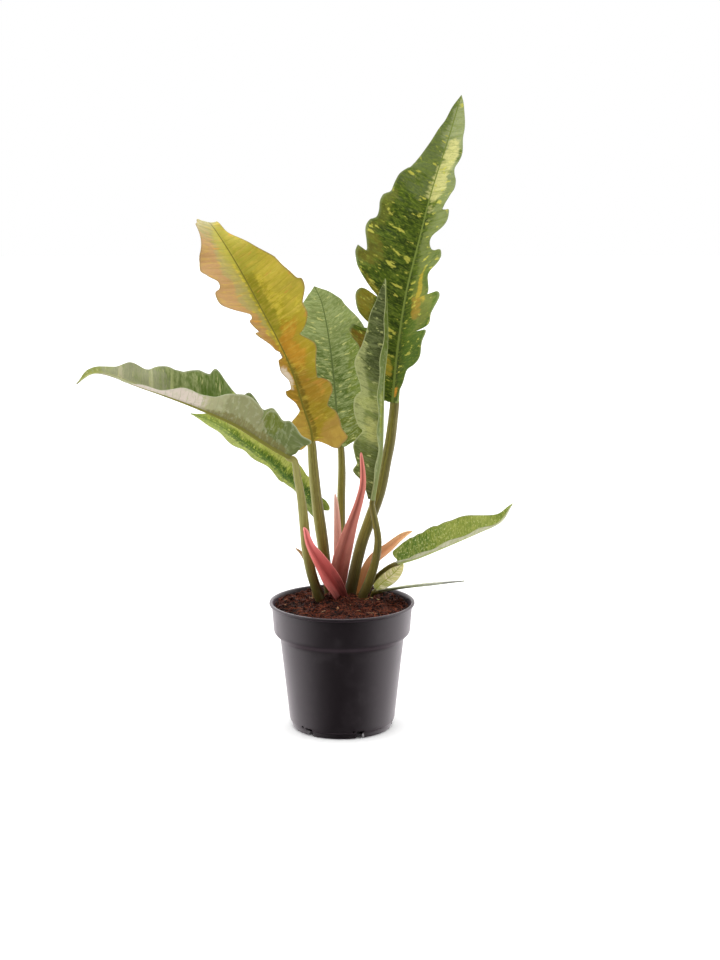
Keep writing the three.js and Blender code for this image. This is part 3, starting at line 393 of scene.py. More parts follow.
            [0.1, 12], [0.16, 16], [0.2, 14], [0.26, 16], [0.32, 17.5], [0.37, 14.5], [0.43, 16],
            [0.505, 15], [0.58, 13.5], [0.645, 12.5], [0.744, 10], [0.842, 9], [0.897, 6.5],
            [0.949, 3], [1, 0]],
        "wave": [1, 5, 0.6],
        "rib_width": [2, 1.6, 1.2, 0.6],
        "rib_depth": [2.8, 1.8, 1, 0.3],
        "straight_top": 6,
        "stem": [[-11, 41, 93], [-11, 41, 106], [-14, 40.5, 128], [-16, 40, 144],
            [-17, 39, 158]],
        "stem_across": [2.7, 2.6, 2.4, 2.3, 2.2],
        "stem_deep": [2.7, 2.6, 2.4, 2.3, 2.2],
    },
    "right": {
        "rib": [[46, 6, 139], [65, 4, 145], [90, 1, 156], [114, -2, 167], [131, -4, 176],
            [140, -6, 191]],
        "face": [[-0.2, -0.25, 0.95], [-0.25, -0.25, 0.95], [-0.3, -0.3, 0.9]],
        "lift_left": [45, 42, 30],
        "lift_right": [32, 33, 36],
        "left": [[0, 2.8], [-0.018, 6], [-0.018, 10], [0.019, 12.5], [0.073, 15.5], [0.1, 16.5],
            [0.136, 18], [0.165, 18], [0.21, 19.5], [0.245, 19], [0.281, 20], [0.342, 20.5],
            [0.38, 19.5], [0.43, 20.5], [0.5, 19.5], [0.562, 19], [0.64, 17], [0.716, 13.5],
            [0.8, 9.5], [0.88, 6], [0.95, 3], [1, 0]],
        "right": [[0, 2.8], [-0.015, 6], [0, 10], [0.05, 13.5], [0.1, 14], [0.15, 16.5],
            [0.2, 15.5], [0.26, 18], [0.32, 17], [0.38, 19], [0.45, 18], [0.52, 18.5], [0.6, 17],
            [0.68, 15], [0.76, 12], [0.84, 8.5], [0.91, 5], [0.96, 2.5], [1, 0]],
        "wave": [0.8, 4, 0.2],
        "rib_width": [1.8, 1.5, 1.1, 0.6],
        "rib_depth": [2.4, 1.6, 1, 0.3],
        "straight_top": 3,
        "stem": [[20.5, 35, 96], [21.5, 33.5, 107], [26.5, 26, 118], [33, 17, 127],
            [39, 11, 133]],
        "stem_across": [2.2, 2.1, 2, 1.9, 1.9],
        "stem_deep": [2.2, 2.1, 2, 1.9, 1.9],
    },
    "pale": {
        "rib": [[28, 31.5, 109], [34, 34, 113.8], [43, 37.5, 120.6], [52, 41.5, 129.5]],
        "face": [[-0.2, -0.7, 0.7]],
        "lift_left": [10],
        "lift_right": [10],
        "left": [[0, 2], [0.06, 4.5], [0.2, 7], [0.33, 8.5], [0.5, 8], [0.65, 7], [0.8, 5],
            [0.92, 2.5], [1, 0]],
        "right": [[0, 2], [0.08, 5], [0.25, 7], [0.4, 8], [0.54, 8], [0.7, 7], [0.84, 5],
            [0.94, 2.5], [1, 0]],
        "rib_width": [1.3, 1, 0.6],
        "rib_depth": [1.6, 1, 0.3],
        "straight_top": 2.5,
        "stem": [[25.5, 29, 96], [25.6, 29.2, 103]],
        "stem_across": [1.6, 1.5],
        "stem_deep": [1.6, 1.5],
    },
    "edge": {
        "rib": [[31, 20, 111], [49, 15, 115], [75, 10, 119], [102, 5, 123]],
        "face": [[0, 0.16, 0.98]],
        "lift_left": [4],
        "lift_right": [4],
        "left": [[0, 2], [0.04, 4.5], [0.12, 7.5], [0.2, 8], [0.3, 9.5], [0.4, 9], [0.52, 9.5],
            [0.64, 8.5], [0.76, 6.5], [0.88, 4], [0.96, 1.8], [1, 0]],
        "right": [[0, 2], [0.05, 5], [0.14, 7.5], [0.24, 8.5], [0.34, 9.5], [0.46, 9.5],
            [0.58, 9], [0.7, 7.5], [0.82, 5.5], [0.92, 3], [1, 0]],
        "rib_width": [1.3, 1, 0.6],
        "rib_depth": [1.6, 1, 0.3],
        "straight_top": 1.5,
        "stem": [[23.5, 23, 95], [24.2, 22.6, 103], [26.3, 21.5, 107.3]],
        "stem_across": [1.6, 1.5],
        "stem_deep": [1.6, 1.5],
    },
}

# Bud sheaths: rib points, the way the face looks, the lift, half widths and depths behind
SHEATHS = {
    "front": {
        "rib": [[0, 14, 97], [-1, 11, 106], [-5, 7, 115], [-13, -1, 129], [-20.4, -9.5, 144],
            [-27, -15, 158], [-30.5, -17.5, 173]],
        "face": [[0.3, -0.9, 0.3], [0.3, -0.9, 0.3]],
        "lift": [20, 35, 45, 50],
        "half": [[0, 5.6], [0.12, 6.2], [0.28, 8.6], [0.42, 9.4], [0.56, 9], [0.7, 7.2],
            [0.8, 5.2], [0.9, 3.9], [0.97, 2.5], [1, 0]],
        "depth": [3, 1.6, 1, 0.6],
    },
    "tall": {
        "rib": [[-4, 21, 96], [-5, 19, 108], [-4, 15, 121], [-1, 10, 141], [5, 5, 164],
            [14, -2, 193], [17, -6, 210], [16, -10, 234]],
        "face": [[0.2, -0.95, 0.1], [0.2, -0.95, 0.1]],
        "lift": [20, 30, 45, 50],
        "half": [[0, 5.6], [0.1, 6.6], [0.22, 8.2], [0.34, 8.4], [0.46, 7.4], [0.56, 6],
            [0.66, 4.8], [0.78, 3.8], [0.88, 2.9], [0.96, 1.7], [1, 0]],
        "depth": [3, 1.6, 1, 0.6],
    },
    "thin": {
        "rib": [[-3.8, 33.5, 96], [-3.8, 33, 109], [-3.7, 31, 135], [-4, 29, 161], [-5, 28, 183],
            [-6, 28, 193]],
        "face": [[0.1, -1, 0], [0.1, -1, 0]],
        "lift": [15, 25, 30],
        "half": [[0, 2.2], [0.2, 2.8], [0.4, 3.6], [0.6, 3.5], [0.8, 2.6], [0.93, 1.6], [1, 0]],
        "depth": [1.6, 1, 0.6],
    },
    "orange": {
        "rib": [[15.5, 30.5, 96], [15.8, 30.7, 108], [18.5, 31.2, 121], [26.5, 30, 135],
            [39, 26, 146], [50, 24, 156], [59, 22, 162]],
        "face": [[0.1, -0.95, 0.3], [-0.3, -0.85, 0.4]],
        "lift": [15, 30, 35],
        "half": [[0, 3.6], [0.15, 4], [0.35, 4.8], [0.5, 5.2], [0.65, 4.9], [0.8, 3.9],
            [0.92, 2.5], [1, 0]],
        "depth": [1.8, 1.2, 0.6],
    },
    "small": {
        "rib": [[-22, 18, 97], [-23, 18, 110], [-26, 16, 128], [-33, 13, 143], [-39, 10, 150]],
        "face": [[0.2, -1, 0.2], [0.2, -1, 0.3]],
        "lift": [15, 25, 30],
        "half": [[0, 2.4], [0.3, 2.6], [0.6, 2.2], [0.85, 1.5], [1, 0]],
        "depth": [1.2, 0.8, 0.5],
    },
}

# How each blade is coloured: its two ground greens and the size of their clouds in mm along
# the rib and along the veins, how strongly dark mottles cover it, streaks, big flecks and
# fine specks, the veins, rib, margin and back. Patches are (root share, signed reach, half
# size along the rib, half size in reach, colour, strength), on the face and on the back. A
# later patch lies over an earlier one.
SKINS = {
    "tall": {
        "dark": "#2a3a02", "light": "#4c5f0d", "cloud": (9, 26), "mottling": 0.3,
        "streak": "#66752a", "streak_share": 0.42,
        "fleck": "#b9b54a", "fleck_size": (5.0, 12), "fleck_from": 0.585,
        "speck": "#7b872c", "speck_share": 0.5,
        "vein": "#55681e", "rib": "#6c7a30", "margin": "#7d8856", "back": "#5f6c38",
        "patches": [
            # The grey-green patches #727f4a, #949c6a, #8c9666 and #7b864a: own greyish tone plus
            # painted sheen
            (0.86, -0.4, 0.2, 1.1, "#727f4a", 0.65), (0.92, 0.6, 0.12, 1.0, "#949c6a", 0.9),
            (0.67, 0.8, 0.13, 0.4, "#8c9666", 0.8),
            (0.5, 0.72, 0.2, 0.5, "#7b864a", 0.75), (0.22, 0.7, 0.2, 0.5, "#4a660c", 0.85),
            (0.3, 0.62, 0.1, 0.3, "#7e8236", 0.7),
            (0.72, 0.25, 0.09, 0.34, "#c3c07a", 1.0), (0.8, 0.45, 0.06, 0.4, "#c3c07a", 1.0),
            (0.29, 0.4, 0.035, 0.16, "#b8892a", 0.6), (0.36, 0.62, 0.06, 0.1, "#c0a634", 0.8),
            (0.11, -0.7, 0.055, 0.45, "#6e560e", 0.95), (0.27, -0.85, 0.06, 0.2, "#8a7a1e", 0.7),
            (0.42, -0.85, 0.06, 0.24, "#777024", 0.65), (0.57, -0.87, 0.07, 0.14, "#757628", 0.5),
            (0.035, 0.3, 0.016, 0.35, "#d18f26", 1.0), (0.11, -0.2, 0.03, 0.12, "#b39a2c", 0.8)],
        "back_patches": [(0.3, 0.0, 0.4, 2.0, "#6f7a40", 0.5)],
    },
    "caramel": {
        "dark": "#918514", "light": "#bfad38", "cloud": (14, 26), "mottling": 0.12,
        "streak": "#b89a40", "streak_share": 0.35,
        "fleck": "#bf8a38", "fleck_size": (6, 26), "fleck_from": 0.62,
        "speck": "#bfae50", "speck_share": 0.15,
        "vein": "#85761e", "rib": "#6a6216", "margin": "#8a7448", "back": "#9c8062",
        "patches": [
            (0.55, 0.1, 0.34, 0.16, "#79760f", 0.75), (0.6, 0.75, 0.2, 0.4, "#b3a238", 0.7),
            (0.55, -0.75, 0.36, 0.42, "#a87e54", 0.9), (0.58, -0.3, 0.26, 0.2, "#948c54", 0.75),
            (0.84, -0.6, 0.12, 0.9, "#858044", 0.9), (0.92, 0.6, 0.14, 0.9, "#87863c", 0.85),
            (0.68, 0.3, 0.1, 0.6, "#a29b34", 0.8), (0.3, 0.4, 0.07, 0.5, "#bd7a22", 0.65),
            (0.3, 0.9, 0.08, 0.3, "#a39022", 0.8), (0.2, -0.5, 0.16, 0.5, "#9d7222", 0.8),
            (0.16, 0.6, 0.065, 0.5, "#b27a2c", 0.85), (0.08, 0.85, 0.08, 0.3, "#8c7a1c", 0.8),
            (0.22, 0.85, 0.05, 0.3, "#96851a", 0.8),
            (0.1, 0.35, 0.12, 0.4, "#8c7014", 0.7), (0.1, 0.0, 0.18, 0.2, "#66570f", 0.8),
            (0.04, -0.6, 0.08, 0.6, "#a08030", 0.8), (0.14, -0.6, 0.05, 0.6, "#8c6a1c", 0.8),
            (0.0, 0.75, 0.05, 0.5, "#a5803c", 0.8), (0.21, -0.9, 0.035, 0.6, "#ccbba6", 1.0)],
        "back_patches": [(0.9, 0.0, 0.2, 2.0, "#b5ab74", 0.7)],
    },
    "back": {
        "dark": "#566a2e", "light": "#84935a", "cloud": (7, 14), "mottling": 0.5,
        "streak": "#9aa76e", "streak_share": 0.8,
        "fleck": "#c6c87e", "fleck_size": (3.0, 8), "fleck_from": 0.59,
        "speck": "#a2ad72", "speck_share": 0.6,
        "vein": "#5d6d3c", "rib": "#5b6b3a", "margin": "#97a077", "back": "#5c6b42",
        "patches": [
            (0.05, 0.5, 0.14, 0.9, "#6c7624", 0.8), (0.06, -0.5, 0.12, 0.8, "#64722a", 0.7),
            (0.45, 0.75, 0.3, 0.35, "#84943c", 0.6), (0.85, 0.0, 0.22, 1.6, "#97a466", 0.6)],
        "back_patches": [],
    },
    "folded": {
        "dark": "#40491f", "light": "#5a6434", "cloud": (9, 16), "mottling": 0.5,
        "streak": "#7b8450", "streak_share": 0.6,
        "fleck": "#b4b872", "fleck_size": (4.0, 10), "fleck_from": 0.59,
        "speck": "#818a50", "speck_share": 0.4,
        "vein": "#69734a", "rib": "#7c8550", "margin": "#a9ad7c", "back": "#55651c",
        "patches": [
            (0.38, -0.5, 0.17, 1.2, "#93a04c", 0.55), (0.3, -0.3, 0.06, 0.5, "#b9b86c", 0.8),
            (0.45, -0.9, 0.2, 0.3, "#abb072", 0.8), (0.42, -0.4, 0.03, 0.5, "#b2b66c", 0.8),
            (0.14, -0.5, 0.1, 1.2, "#5f6b2e", 0.85)],
        "back_patches": [
            (0.1, 0.0, 0.2, 2.0, "#7f865a", 0.7), (0.4, 0.3, 0.1, 0.4, "#83882a", 0.6)],
    },
    "left": {
        "dark": "#637139", "light": "#959c68", "cloud": (10, 18), "mottling": 0.4,
        "streak": "#8b935e", "streak_share": 0.55,
        "fleck": "#bdbc80", "fleck_size": (1.9, 16), "fleck_from": 0.61,
        "speck": "#8f9862", "speck_share": 0.4,
        "vein": "#7c865a", "rib": "#76732c", "margin": "#a3a788", "back": "#9d9374",
        "patches": [
            (0.93, 0.0, 0.1, 1.6, "#8b8f3c", 0.7), (0.74, 0.0, 0.13, 1.6, "#9a997c", 0.8),
            (0.8, 0.3, 0.014, 0.7, "#bab394", 0.7), (0.66, 0.4, 0.007, 0.7, "#bcbb90", 0.7),
            (0.57, 0.3, 0.006, 0.8, "#b2b67c", 0.7), (0.36, 0.0, 0.12, 1.6, "#4f6a1a", 0.7),
            (0.29, 0.4, 0.01, 0.6, "#a8b256", 0.9)],
        "back_patches": [
            # The near-white patch #bfb2a6: the back's own pale tone plus a painted highlight
            (0.62, 0.0, 0.2, 2.0, "#bfb2a6", 0.95), (0.34, -0.5, 0.08, 0.9, "#92926c", 0.8),
            (0.21, -0.5, 0.13, 1.4, "#7c7d54", 0.9), (0.02, -0.5, 0.12, 1.4, "#55622c", 0.95),
            (0.12, -0.85, 0.045, 0.4, "#5c6618", 0.9), (0.22, -0.1, 0.22, 0.2, "#6f693a", 0.8)],
    },
    "yellow": {
        "dark": "#3d5602", "light": "#5f7612", "cloud": (8, 14), "mottling": 0.5,
        "streak": "#8d9b38", "streak_share": 0.55,
        "fleck": "#b0b850", "fleck_size": (2.6, 5), "fleck_from": 0.58,
        "speck": "#9aa648", "speck_share": 0.5,
        "vein": "#557418", "rib": "#47660e", "margin": "#a5ab70", "back": "#8a965a",
        "patches": [
            (0.5, 0.85, 0.5, 0.5, "#b0b45a", 0.9), (0.5, -0.8, 0.5, 0.3, "#9aa252", 0.8),
            (0.9, 0.0, 0.16, 1.6, "#84923e", 0.7), (0.25, 0.0, 0.25, 0.4, "#30530a", 0.8),
            (0.0, 0.0, 0.06, 1.6, "#66782e", 0.7)],
        "back_patches": [],
    },
    "right": {
        "dark": "#56701c", "light": "#848f38", "cloud": (8, 12), "mottling": 0.5,
        "streak": "#949a48", "streak_share": 0.4,
        "fleck": "#c6c884", "fleck_size": (1.3, 2.2), "fleck_from": 0.585,
        "speck": "#aeb262", "speck_share": 0.6,
        "vein": "#7c9038", "rib": "#a0aa66", "margin": "#8f906e", "back": "#b3b095",
        "patches": [
            (0.1, 0.0, 0.16, 1.6, "#4e6818", 0.7), (0.6, 0.0, 0.25, 1.6, "#919840", 0.6)],
        "back_patches": [(0.95, 0.0, 0.15, 2.0, "#a6aa7e", 0.6)],
    },
    "pale": {
        "dark": "#a8ae62", "light": "#d6d2ae", "cloud": (4, 20), "mottling": 0.3,
        "streak": "#8c9a44", "streak_share": 0.6,
        "fleck": "#e0dcbc", "fleck_size": (2.0, 14), "fleck_from": 0.53,
        "speck": "#d2d4a0", "speck_share": 0.4,
        "vein": "#b4ba72", "rib": "#8f9a40", "margin": "#cfc8b4", "back": "#c3c694",
        "patches": [
            (0.1, 0.0, 0.25, 1.6, "#92a04c", 0.6), (0.7, 0.7, 0.3, 0.5, "#d3cf8c", 0.7)],
        "back_patches": [],
    },
    "edge": {
        "dark": "#858a62", "light": "#b0b29c", "cloud": (8, 16), "mottling": 0.4,
        "streak": "#b4b5a2", "streak_share": 0.4,
        "fleck": "#b9bba0", "fleck_size": (1.6, 6), "fleck_from": 0.6,
        "speck": "#a9ac90", "speck_share": 0.3,
        "vein": "#8d9474", "rib": "#8b9068", "margin": "#a8a8a0", "back": "#8d9474",
        "patches": [
            (0.15, 0.0, 0.3, 1.6, "#8a964e", 0.85), (0.95, 0.0, 0.22, 1.6, "#74747a", 0.9)],
        "back_patches": [
            (0.15, 0.0, 0.32, 1.6, "#939e56", 0.85), (0.95, 0.0, 0.3, 1.6, "#5c5c62", 0.9)],
    },
}

# How each bud sheath is coloured from its tip to its foot, and the painted shade along its middle
# fold
SHEATH_COLOURS = {
    "front": {"tip": "#f0918c", "middle": "#d0645f", "foot": "#68281e", "fold_shade": "#b04a44"},
    "tall": {"tip": "#dc8478", "middle": "#c67c6c", "foot": "#7c4634", "fold_shade": "#8a4434"},
    "thin": {"tip": "#f2c4b4", "middle": "#f6b8a8", "foot": "#cc8c7a", "fold_shade": "#e0a498"},
    "orange": {"tip": "#f6c690", "middle": "#f8b88a", "foot": "#e0924c", "fold_shade": "#f0a878"},
    "small": {"tip": "#bf9a70", "middle": "#c0a070", "foot": "#8c6c40", "fold_shade": "#ac8a58"},
}


def paint(code):
    """A hex colour as the linear red, green, blue and alpha that shaders use."""
    parts = [int(code[i:i + 2], 16) / 255 for i in (1, 3, 5)]
    linear = [c / 12.92 if c < 0.04045 else ((c + 0.055) / 1.055) ** 2.4 for c in parts]
    return (*linear, 1.0)


# Shapes


def unit(vectors):
    """Each vector divided by its length."""
    return vectors / np.maximum(np.linalg.norm(vectors, axis=-1, keepdims=True), LEAST_LENGTH)


def ease(low, high, value):
    """Rises from 0 at low to 1 at high as 3t squared less 2t cubed."""
    t = np.clip((value - low) / (high - low), 0, 1)
    return t * t * (3 - 2 * t)


def along(values, share):
    """Values given at equal steps along a piece, eased from one step to the next."""
    values = np.asarray(values, float)
    spans = len(values) - 1
    if spans == 0:
        return np.broadcast_to(values[0], np.shape(share) + values.shape[1:])
    place = np.clip(share, 0, 1) * spans
    step = np.minimum(place.astype(int), spans - 1)
    weight = ease(0, 1, place - step)
    if values.ndim > 1:
        weight = weight[..., None]
    return values[step] * (1 - weight) + values[step + 1] * weight


def smooth_curve(points, steps):
    """A curve through all the points: between two of them it is the cubic whose slope at each
    is half the step between that point's neighbours. Both ends go on straight."""
    p = np.asarray(points, float)
    p = np.vstack([2 * p[0] - p[1], p, 2 * p[-1] - p[-2]])
    spans = len(p) - 3
    place = np.linspace(0, spans, spans * steps + 1)
    k = np.minimum(place.astype(int), spans - 1)
    t = (place - k)[:, None]
    a, b, c, d = p[k], p[k + 1], p[k + 2], p[k + 3]
    return 0.5 * (2 * b + (c - a) * t + (2 * a - 5 * b + 4 * c - d) * t ** 2
                  + (3 * b - a - 3 * c + d) * t ** 3)


def bowed(start, middle, end, t):
    """Where a curve is at t from 0 to 1, which leaves its start towards the middle point and
    comes to its end from there: the start times (1 - t) squared, the middle times 2t(1 - t)
    and the end times t squared."""
    return (1 - t) ** 2 * start + 2 * t * (1 - t) * middle + t ** 2 * end


class Line:
    """A smooth line read by its share of the length, with the way that the piece faces."""

    def __init__(self, points, face):
        self.dense = smooth_curve(points, LINE_STEPS)
        self.slope = unit(np.gradient(self.dense, axis=0))
        walked = np.cumsum(np.linalg.norm(np.diff(self.dense, axis=0), axis=1))
        self.length = walked[-1]
        self.share = np.concatenate([[0], walked]) / self.length
        self.face = face

    def frame(self, share):
        """The point, tangent, normal and right-hand way at each share of the length."""
        inside = np.clip(share, 0, 1)
        point, tangent = (np.stack([np.interp(inside, self.share, table[:, axis])
                                    for axis in range(3)], -1)
                          for table in (self.dense, self.slope))
        tangent = unit(tangent)
        point = point + tangent * ((share - inside) * self.length)[..., None]
        normal = along(self.face, inside)
        normal = unit(normal - tangent * np.sum(normal * tangent, -1, keepdims=True))
        return point, tangent, normal, np.cross(tangent, normal)


def soft_noise(x, y, size, seed):
    """Smooth random values from -1 to 1: a seeded table of random numbers, read at the place
    divided by the size and eased between its four neighbours."""
    cells = NOISE_CELLS
    table = np.random.default_rng(seed).uniform(-1, 1, (cells, cells))
    column, row = x / size + NOISE_START, y / size + NOISE_START
    i, j = np.floor(column).astype(int), np.floor(row).astype(int)
    u, v = ease(0, 1, column - i), ease(0, 1, row - j)
    near = table[i % cells, j % cells] * (1 - u) + table[(i + 1) % cells, j % cells] * u
    far = (table[i % cells, (j + 1) % cells] * (1 - u)
           + table[(i + 1) % cells, (j + 1) % cells] * u)
    return near * (1 - v) + far * v


def grid_vectors(x, y, z, shape):
    """Three numbers for each point of a grid of the shape given, as one array."""
    return np.stack([np.broadcast_to(part, shape) for part in (x, y, z)], -1)


def full_turn(sides):
    """Equal steps round a circle, in radians."""
    return 2 * np.pi * np.arange(sides) / sides


def ring_faces(rings, sides):
    """Four-cornered faces between each ring of points and the next, going round each ring."""
    i, j = np.meshgrid(np.arange(rings - 1), np.arange(sides), indexing="ij")
    a, b = i * sides + j, i * sides + (j + 1) % sides
    return np.stack([a, b, b + sides, a + sides], -1).reshape(-1, 4)


def turned(radii, sides):
    """The x and y of rings of points round the z axis, one ring for each radius."""
    radii = np.asarray(radii)[:, None]
    angle = full_turn(sides)
    return radii * np.cos(angle), radii * np.sin(angle)


def repeated(faces, points, count):
    """The faces of one small piece, given again for each of many with as many points."""
    return faces[None] + (points * np.arange(count))[:, None, None]


def add_piece(name, points, faces, values, replaced, finish, crease=None):
    """Makes a mesh object from points in mm, closes it where points meet, and lets it ride
    on the root body. Values are named vectors kept on its points for the finish to read. An
    edge that bends by more than the crease, in degrees, is sharp."""
    mesh = bpy.data.meshes.new(name)
    mesh.from_pydata((points * MM).tolist(), [], faces.tolist())
    for label, vectors in values.items():
        layer = mesh.attributes.new(label, "FLOAT_VECTOR", "POINT")
        layer.data.foreach_set("vector", np.ascontiguousarray(vectors, np.float32).ravel())
    work = bmesh.new()
    work.from_mesh(mesh)
    bmesh.ops.remove_doubles(work, verts=work.verts, dist=MERGE_DISTANCE)
    bmesh.ops.dissolve_degenerate(work, dist=SHORTEST_EDGE, edges=work.edges)
    work.to_mesh(mesh)
    work.free()
    mesh.shade_smooth()
    if crease is not None:
        mesh.set_sharp_from_angle(angle=math.radians(crease))
    mesh.materials.append(finish)
    piece = bpy.data.objects.new(name, mesh)
    bpy.context.scene.collection.objects.link(piece)
    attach(piece, "root")
    if replaced:
        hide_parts(*replaced)
    return piece


def vein_roots(outline, sweep, length):
    """Where the vein to each outline point leaves the rib: further back the wider the blade
    is there, and always a little further on than the vein before it, because a share of each
    place is that of even steps."""
    share, width = outline.T
    reached = np.maximum.accumulate(np.maximum(share - sweep * width / length, 0))
    even = np.linspace(0, 1, len(outline))
    return (1 - EVEN_SHARE) * reached / reached[-1] + EVEN_SHARE * even


def blade_sides(leaf, style, length):
    """The left and the right outline, each as the roots of its veins and the points that they
    reach, on a smooth curve through the outline's points."""
    sides = []
    for name in ("left", "right"):
        outline = np.array(leaf[name], float)
        reached = smooth_curve(outline, style["outline_steps"])
        places = np.linspace(0, len(outline) - 1, len(reached))
        roots = vein_roots(outline, leaf.get("sweep", SWEEP), length)
        sides.append((np.interp(places, np.arange(len(outline)), roots), reached))
    return sides


def row_roots(sides, least):
    """The roots of the veins of both sides in order, with one at most in each least step."""
    every = np.sort(np.concatenate([roots for roots, _ in sides]))
    kept = np.concatenate([[True], np.floor(every[1:] / least) > np.floor(every[:-1] / least)])
    root = every[kept]
    root[-1] = 1.0
    return root


def sheet_faces(rows, columns):
    """Faces of a closed sheet whose rows go out over its face and home over its back: a ring
    between each row and the next, and a flat cap at the first row and at the last."""
    around = 2 * columns
    last = (rows - 1) * around
    j = np.arange(columns - 1)
    first_cap = np.stack([j, around - 1 - j, around - 2 - j, j + 1], -1)
    last_cap = last + np.stack([j, j + 1, around - 2 - j, around - 1 - j], -1)
    return np.concatenate([ring_faces(rows, around), first_cap, last_cap])


def out_and_home(face, back):
    """Joins each row of the face to the same row of the back, read the other way."""
    return np.concatenate([face, back[:, ::-1]], 1).reshape(-1, 3)


def blade_net(leaf, style):
    """A closed blade. Each vein runs from the rib at its root to the outline, bending forward
    as the reach from 0 to 1 is raised to a power, and rises from the rib by the lift angle.
    To that are added the waves of the margin, low swellings between the veins and a bead
    along the rib. The back is the face moved back by a thickness that is least at the
    margin and swells under the rib."""
    line = Line(leaf["rib"], leaf["face"])
    sides = blade_sides(leaf, style, line.length)
    root = row_roots(sides, style["least_row"] / line.length)
    (left_root, left_end), (right_root, right_end) = sides
    reach = np.array(REACH)
    reach = np.concatenate([-reach[:0:-1], reach])[None, :]
    across = np.abs(reach)
    right_side = reach > 0
    side = np.where(right_side, 1.0, -1.0)

    # Where each vein ends on the outline, and every point of it on the way there
    share_end, width_end = (np.where(right_side,
                                     np.interp(root, right_root, right_end[:, axis])[:, None],
                                     np.interp(root, left_root, left_end[:, axis])[:, None])
                            for axis in (0, 1))
    width_end = np.maximum(width_end, 0)
    bend = VEIN_BEND + LOBE_BEND * np.clip(-share_end / LOBE_SHARE, 0, 1)
    share = root[:, None] + (share_end - root[:, None]) * across ** bend
    width = width_end * across

    # The plain net: flat along the rib in a trough, then rising at the lift angle
    point, _, normal, right = line.frame(share)
    lift = np.radians(np.where(right_side, along(leaf["lift_right"], share),
                               along(leaf["lift_left"], share)))
    trough = style["trough"]
    slant = np.sqrt(width ** 2 + trough ** 2)
    look = unit(normal * np.cos(lift)[..., None]
                - right * (side * (width / slant) * np.sin(lift))[..., None])
    place = point + right * (side * width * np.cos(lift))[..., None]
    place += normal * ((slant - trough) * np.sin(lift))[..., None]

    # What stands up from it: waves, swellings between the veins, ripples and the rib's bead
    height, count, start = leaf.get("wave", (0, 1, 0))
    fade = np.minimum(1, 6 * share) * np.minimum(1, 4 * (1 - share)) * across ** 2
    relief = height * fade * np.sin(2 * np.pi * (count * share + start + 0.3 * side))
    walked = root[:, None] * line.length
    middle = ease(0.04, 0.3, across) * (1 - ease(0.75, 1.0, across))
    size = np.clip(width_end / FULL_WIDTH, 0, 1)
    swell = np.abs(np.sin(np.pi * walked / style["vein_step"])) ** 0.8 - 0.6
    relief += style["swell"] * swell * middle * size
    ripples = soft_noise(walked, side * width, RIPPLE_SIZE, RIPPLE_SEED)
    relief += style["pucker"] * size * ripples * ease(0.1, 0.6, across)
    ridge = along(leaf["rib_width"], share)
    relief += style["bead"] * ridge * np.exp(-(width / (BEAD_SHARE * ridge)) ** 2)
    place += look * relief[..., None]

    # The back: the blade's own thickness, and a bulge under the rib
    bulge = np.cos(0.5 * np.pi * np.clip(width / (BULGE_SHARE * ridge), 0, 1))
    thickness = style["thickness"] * (1 - style["thin_edge"] * across ** 3)
    depth = thickness + along(leaf["rib_depth"], share) * bulge
    under = place - look * depth[..., None]

    full = share.shape
    vein = grid_vectors(walked, side * width, across, full)
    spot = grid_vectors(root[:, None], reach, 1.0, full)
    back_spot = spot * np.array([1.0, 1.0, 0.0])
    values = {"vein": out_and_home(vein, vein), "spot": out_and_home(spot, back_spot)}
    return out_and_home(place, under), sheet_faces(*full), values


def stem_line(leaf):
    """The stem's line: its own points, then a straight stretch that ends a hair below the foot
    of the rib, lower than the blade's face by the stem's half depth."""
    foot, tangent, normal, _ = Line(leaf["rib"], leaf["face"]).frame(np.zeros(1))
    top = foot[0] - tangent[0] * JOINT_GAP - normal[0] * leaf["stem_deep"][-1]
    below = top - tangent[0] * leaf.get("straight_top", STRAIGHT_TOP)
    points = [*leaf["stem"], below, top]
    return Line(points, [[0, -1, 0.05], normal[0]])


def tube_net(line, across, deep, sides):
    """Rings of points carried along a line. Past its end the rings shrink as a quarter of a
    circle over the length of the top's dome, and before its start over the foot's."""
    turn = np.linspace(0, 0.5 * np.pi, DOME_STEPS + 1)[1:]
    share = np.concatenate([-STEM_FOOT_DOME / line.length * np.sin(turn[::-1]),
                            np.linspace(0, 1, STEM_RINGS),
                            1 + STEM_TOP_DOME / line.length * np.sin(turn)])
    shrink = np.concatenate([np.cos(turn[::-1]), np.ones(STEM_RINGS), np.cos(turn)])
    point, _, normal, right = line.frame(share)
    angle = full_turn(sides)
    wide = (along(across, share) * shrink)[:, None, None] * np.cos(angle)[None, :, None]
    tall = (along(deep, share) * shrink)[:, None, None] * np.sin(angle)[None, :, None]
    points = point[:, None] + right[:, None] * wide - normal[:, None] * tall
    full = (len(share), sides)
    vein = grid_vectors((share * line.length)[:, None], np.cos(angle), np.sin(angle), full)
    spot = grid_vectors(share[:, None], angle / (2 * np.pi), 1.0, full)
    values = {"vein": vein.reshape(-1, 3), "spot": spot.reshape(-1, 3)}
    return points.reshape(-1, 3), ring_faces(*full), values


def mix_height(x, y, lumps):
    """Height of the growing mix: a dome that is a cosine of the radius raised to 1.3, with the
    crossing waves of its solid, lumps of several sizes and a low bank beside the wall."""
    radius = np.hypot(x, y)
    dome = np.cos(np.minimum(1, radius / MIX_DOME_RADIUS) * np.pi / 2) ** 1.3
    rough = 0.7 * np.sin(0.31 * x + 0.9) * np.sin(0.27 * y + 0.4)
    rough += 0.45 * np.sin(0.62 * x - 0.35 * y) * np.sin(0.55 * y + 0.3 * x + 1.7)
    lump = sum(strength * soft_noise(x, y, size, seed) for strength, size, seed in MIX_LUMPS)
    bank = MIX_BANK * ease(*MIX_BANK_RADII, radius)
    return (MIX_EDGE_HEIGHT + (MIX_CENTRE_HEIGHT - MIX_EDGE_HEIGHT) * dome + bank + rough
            + lumps * lump)


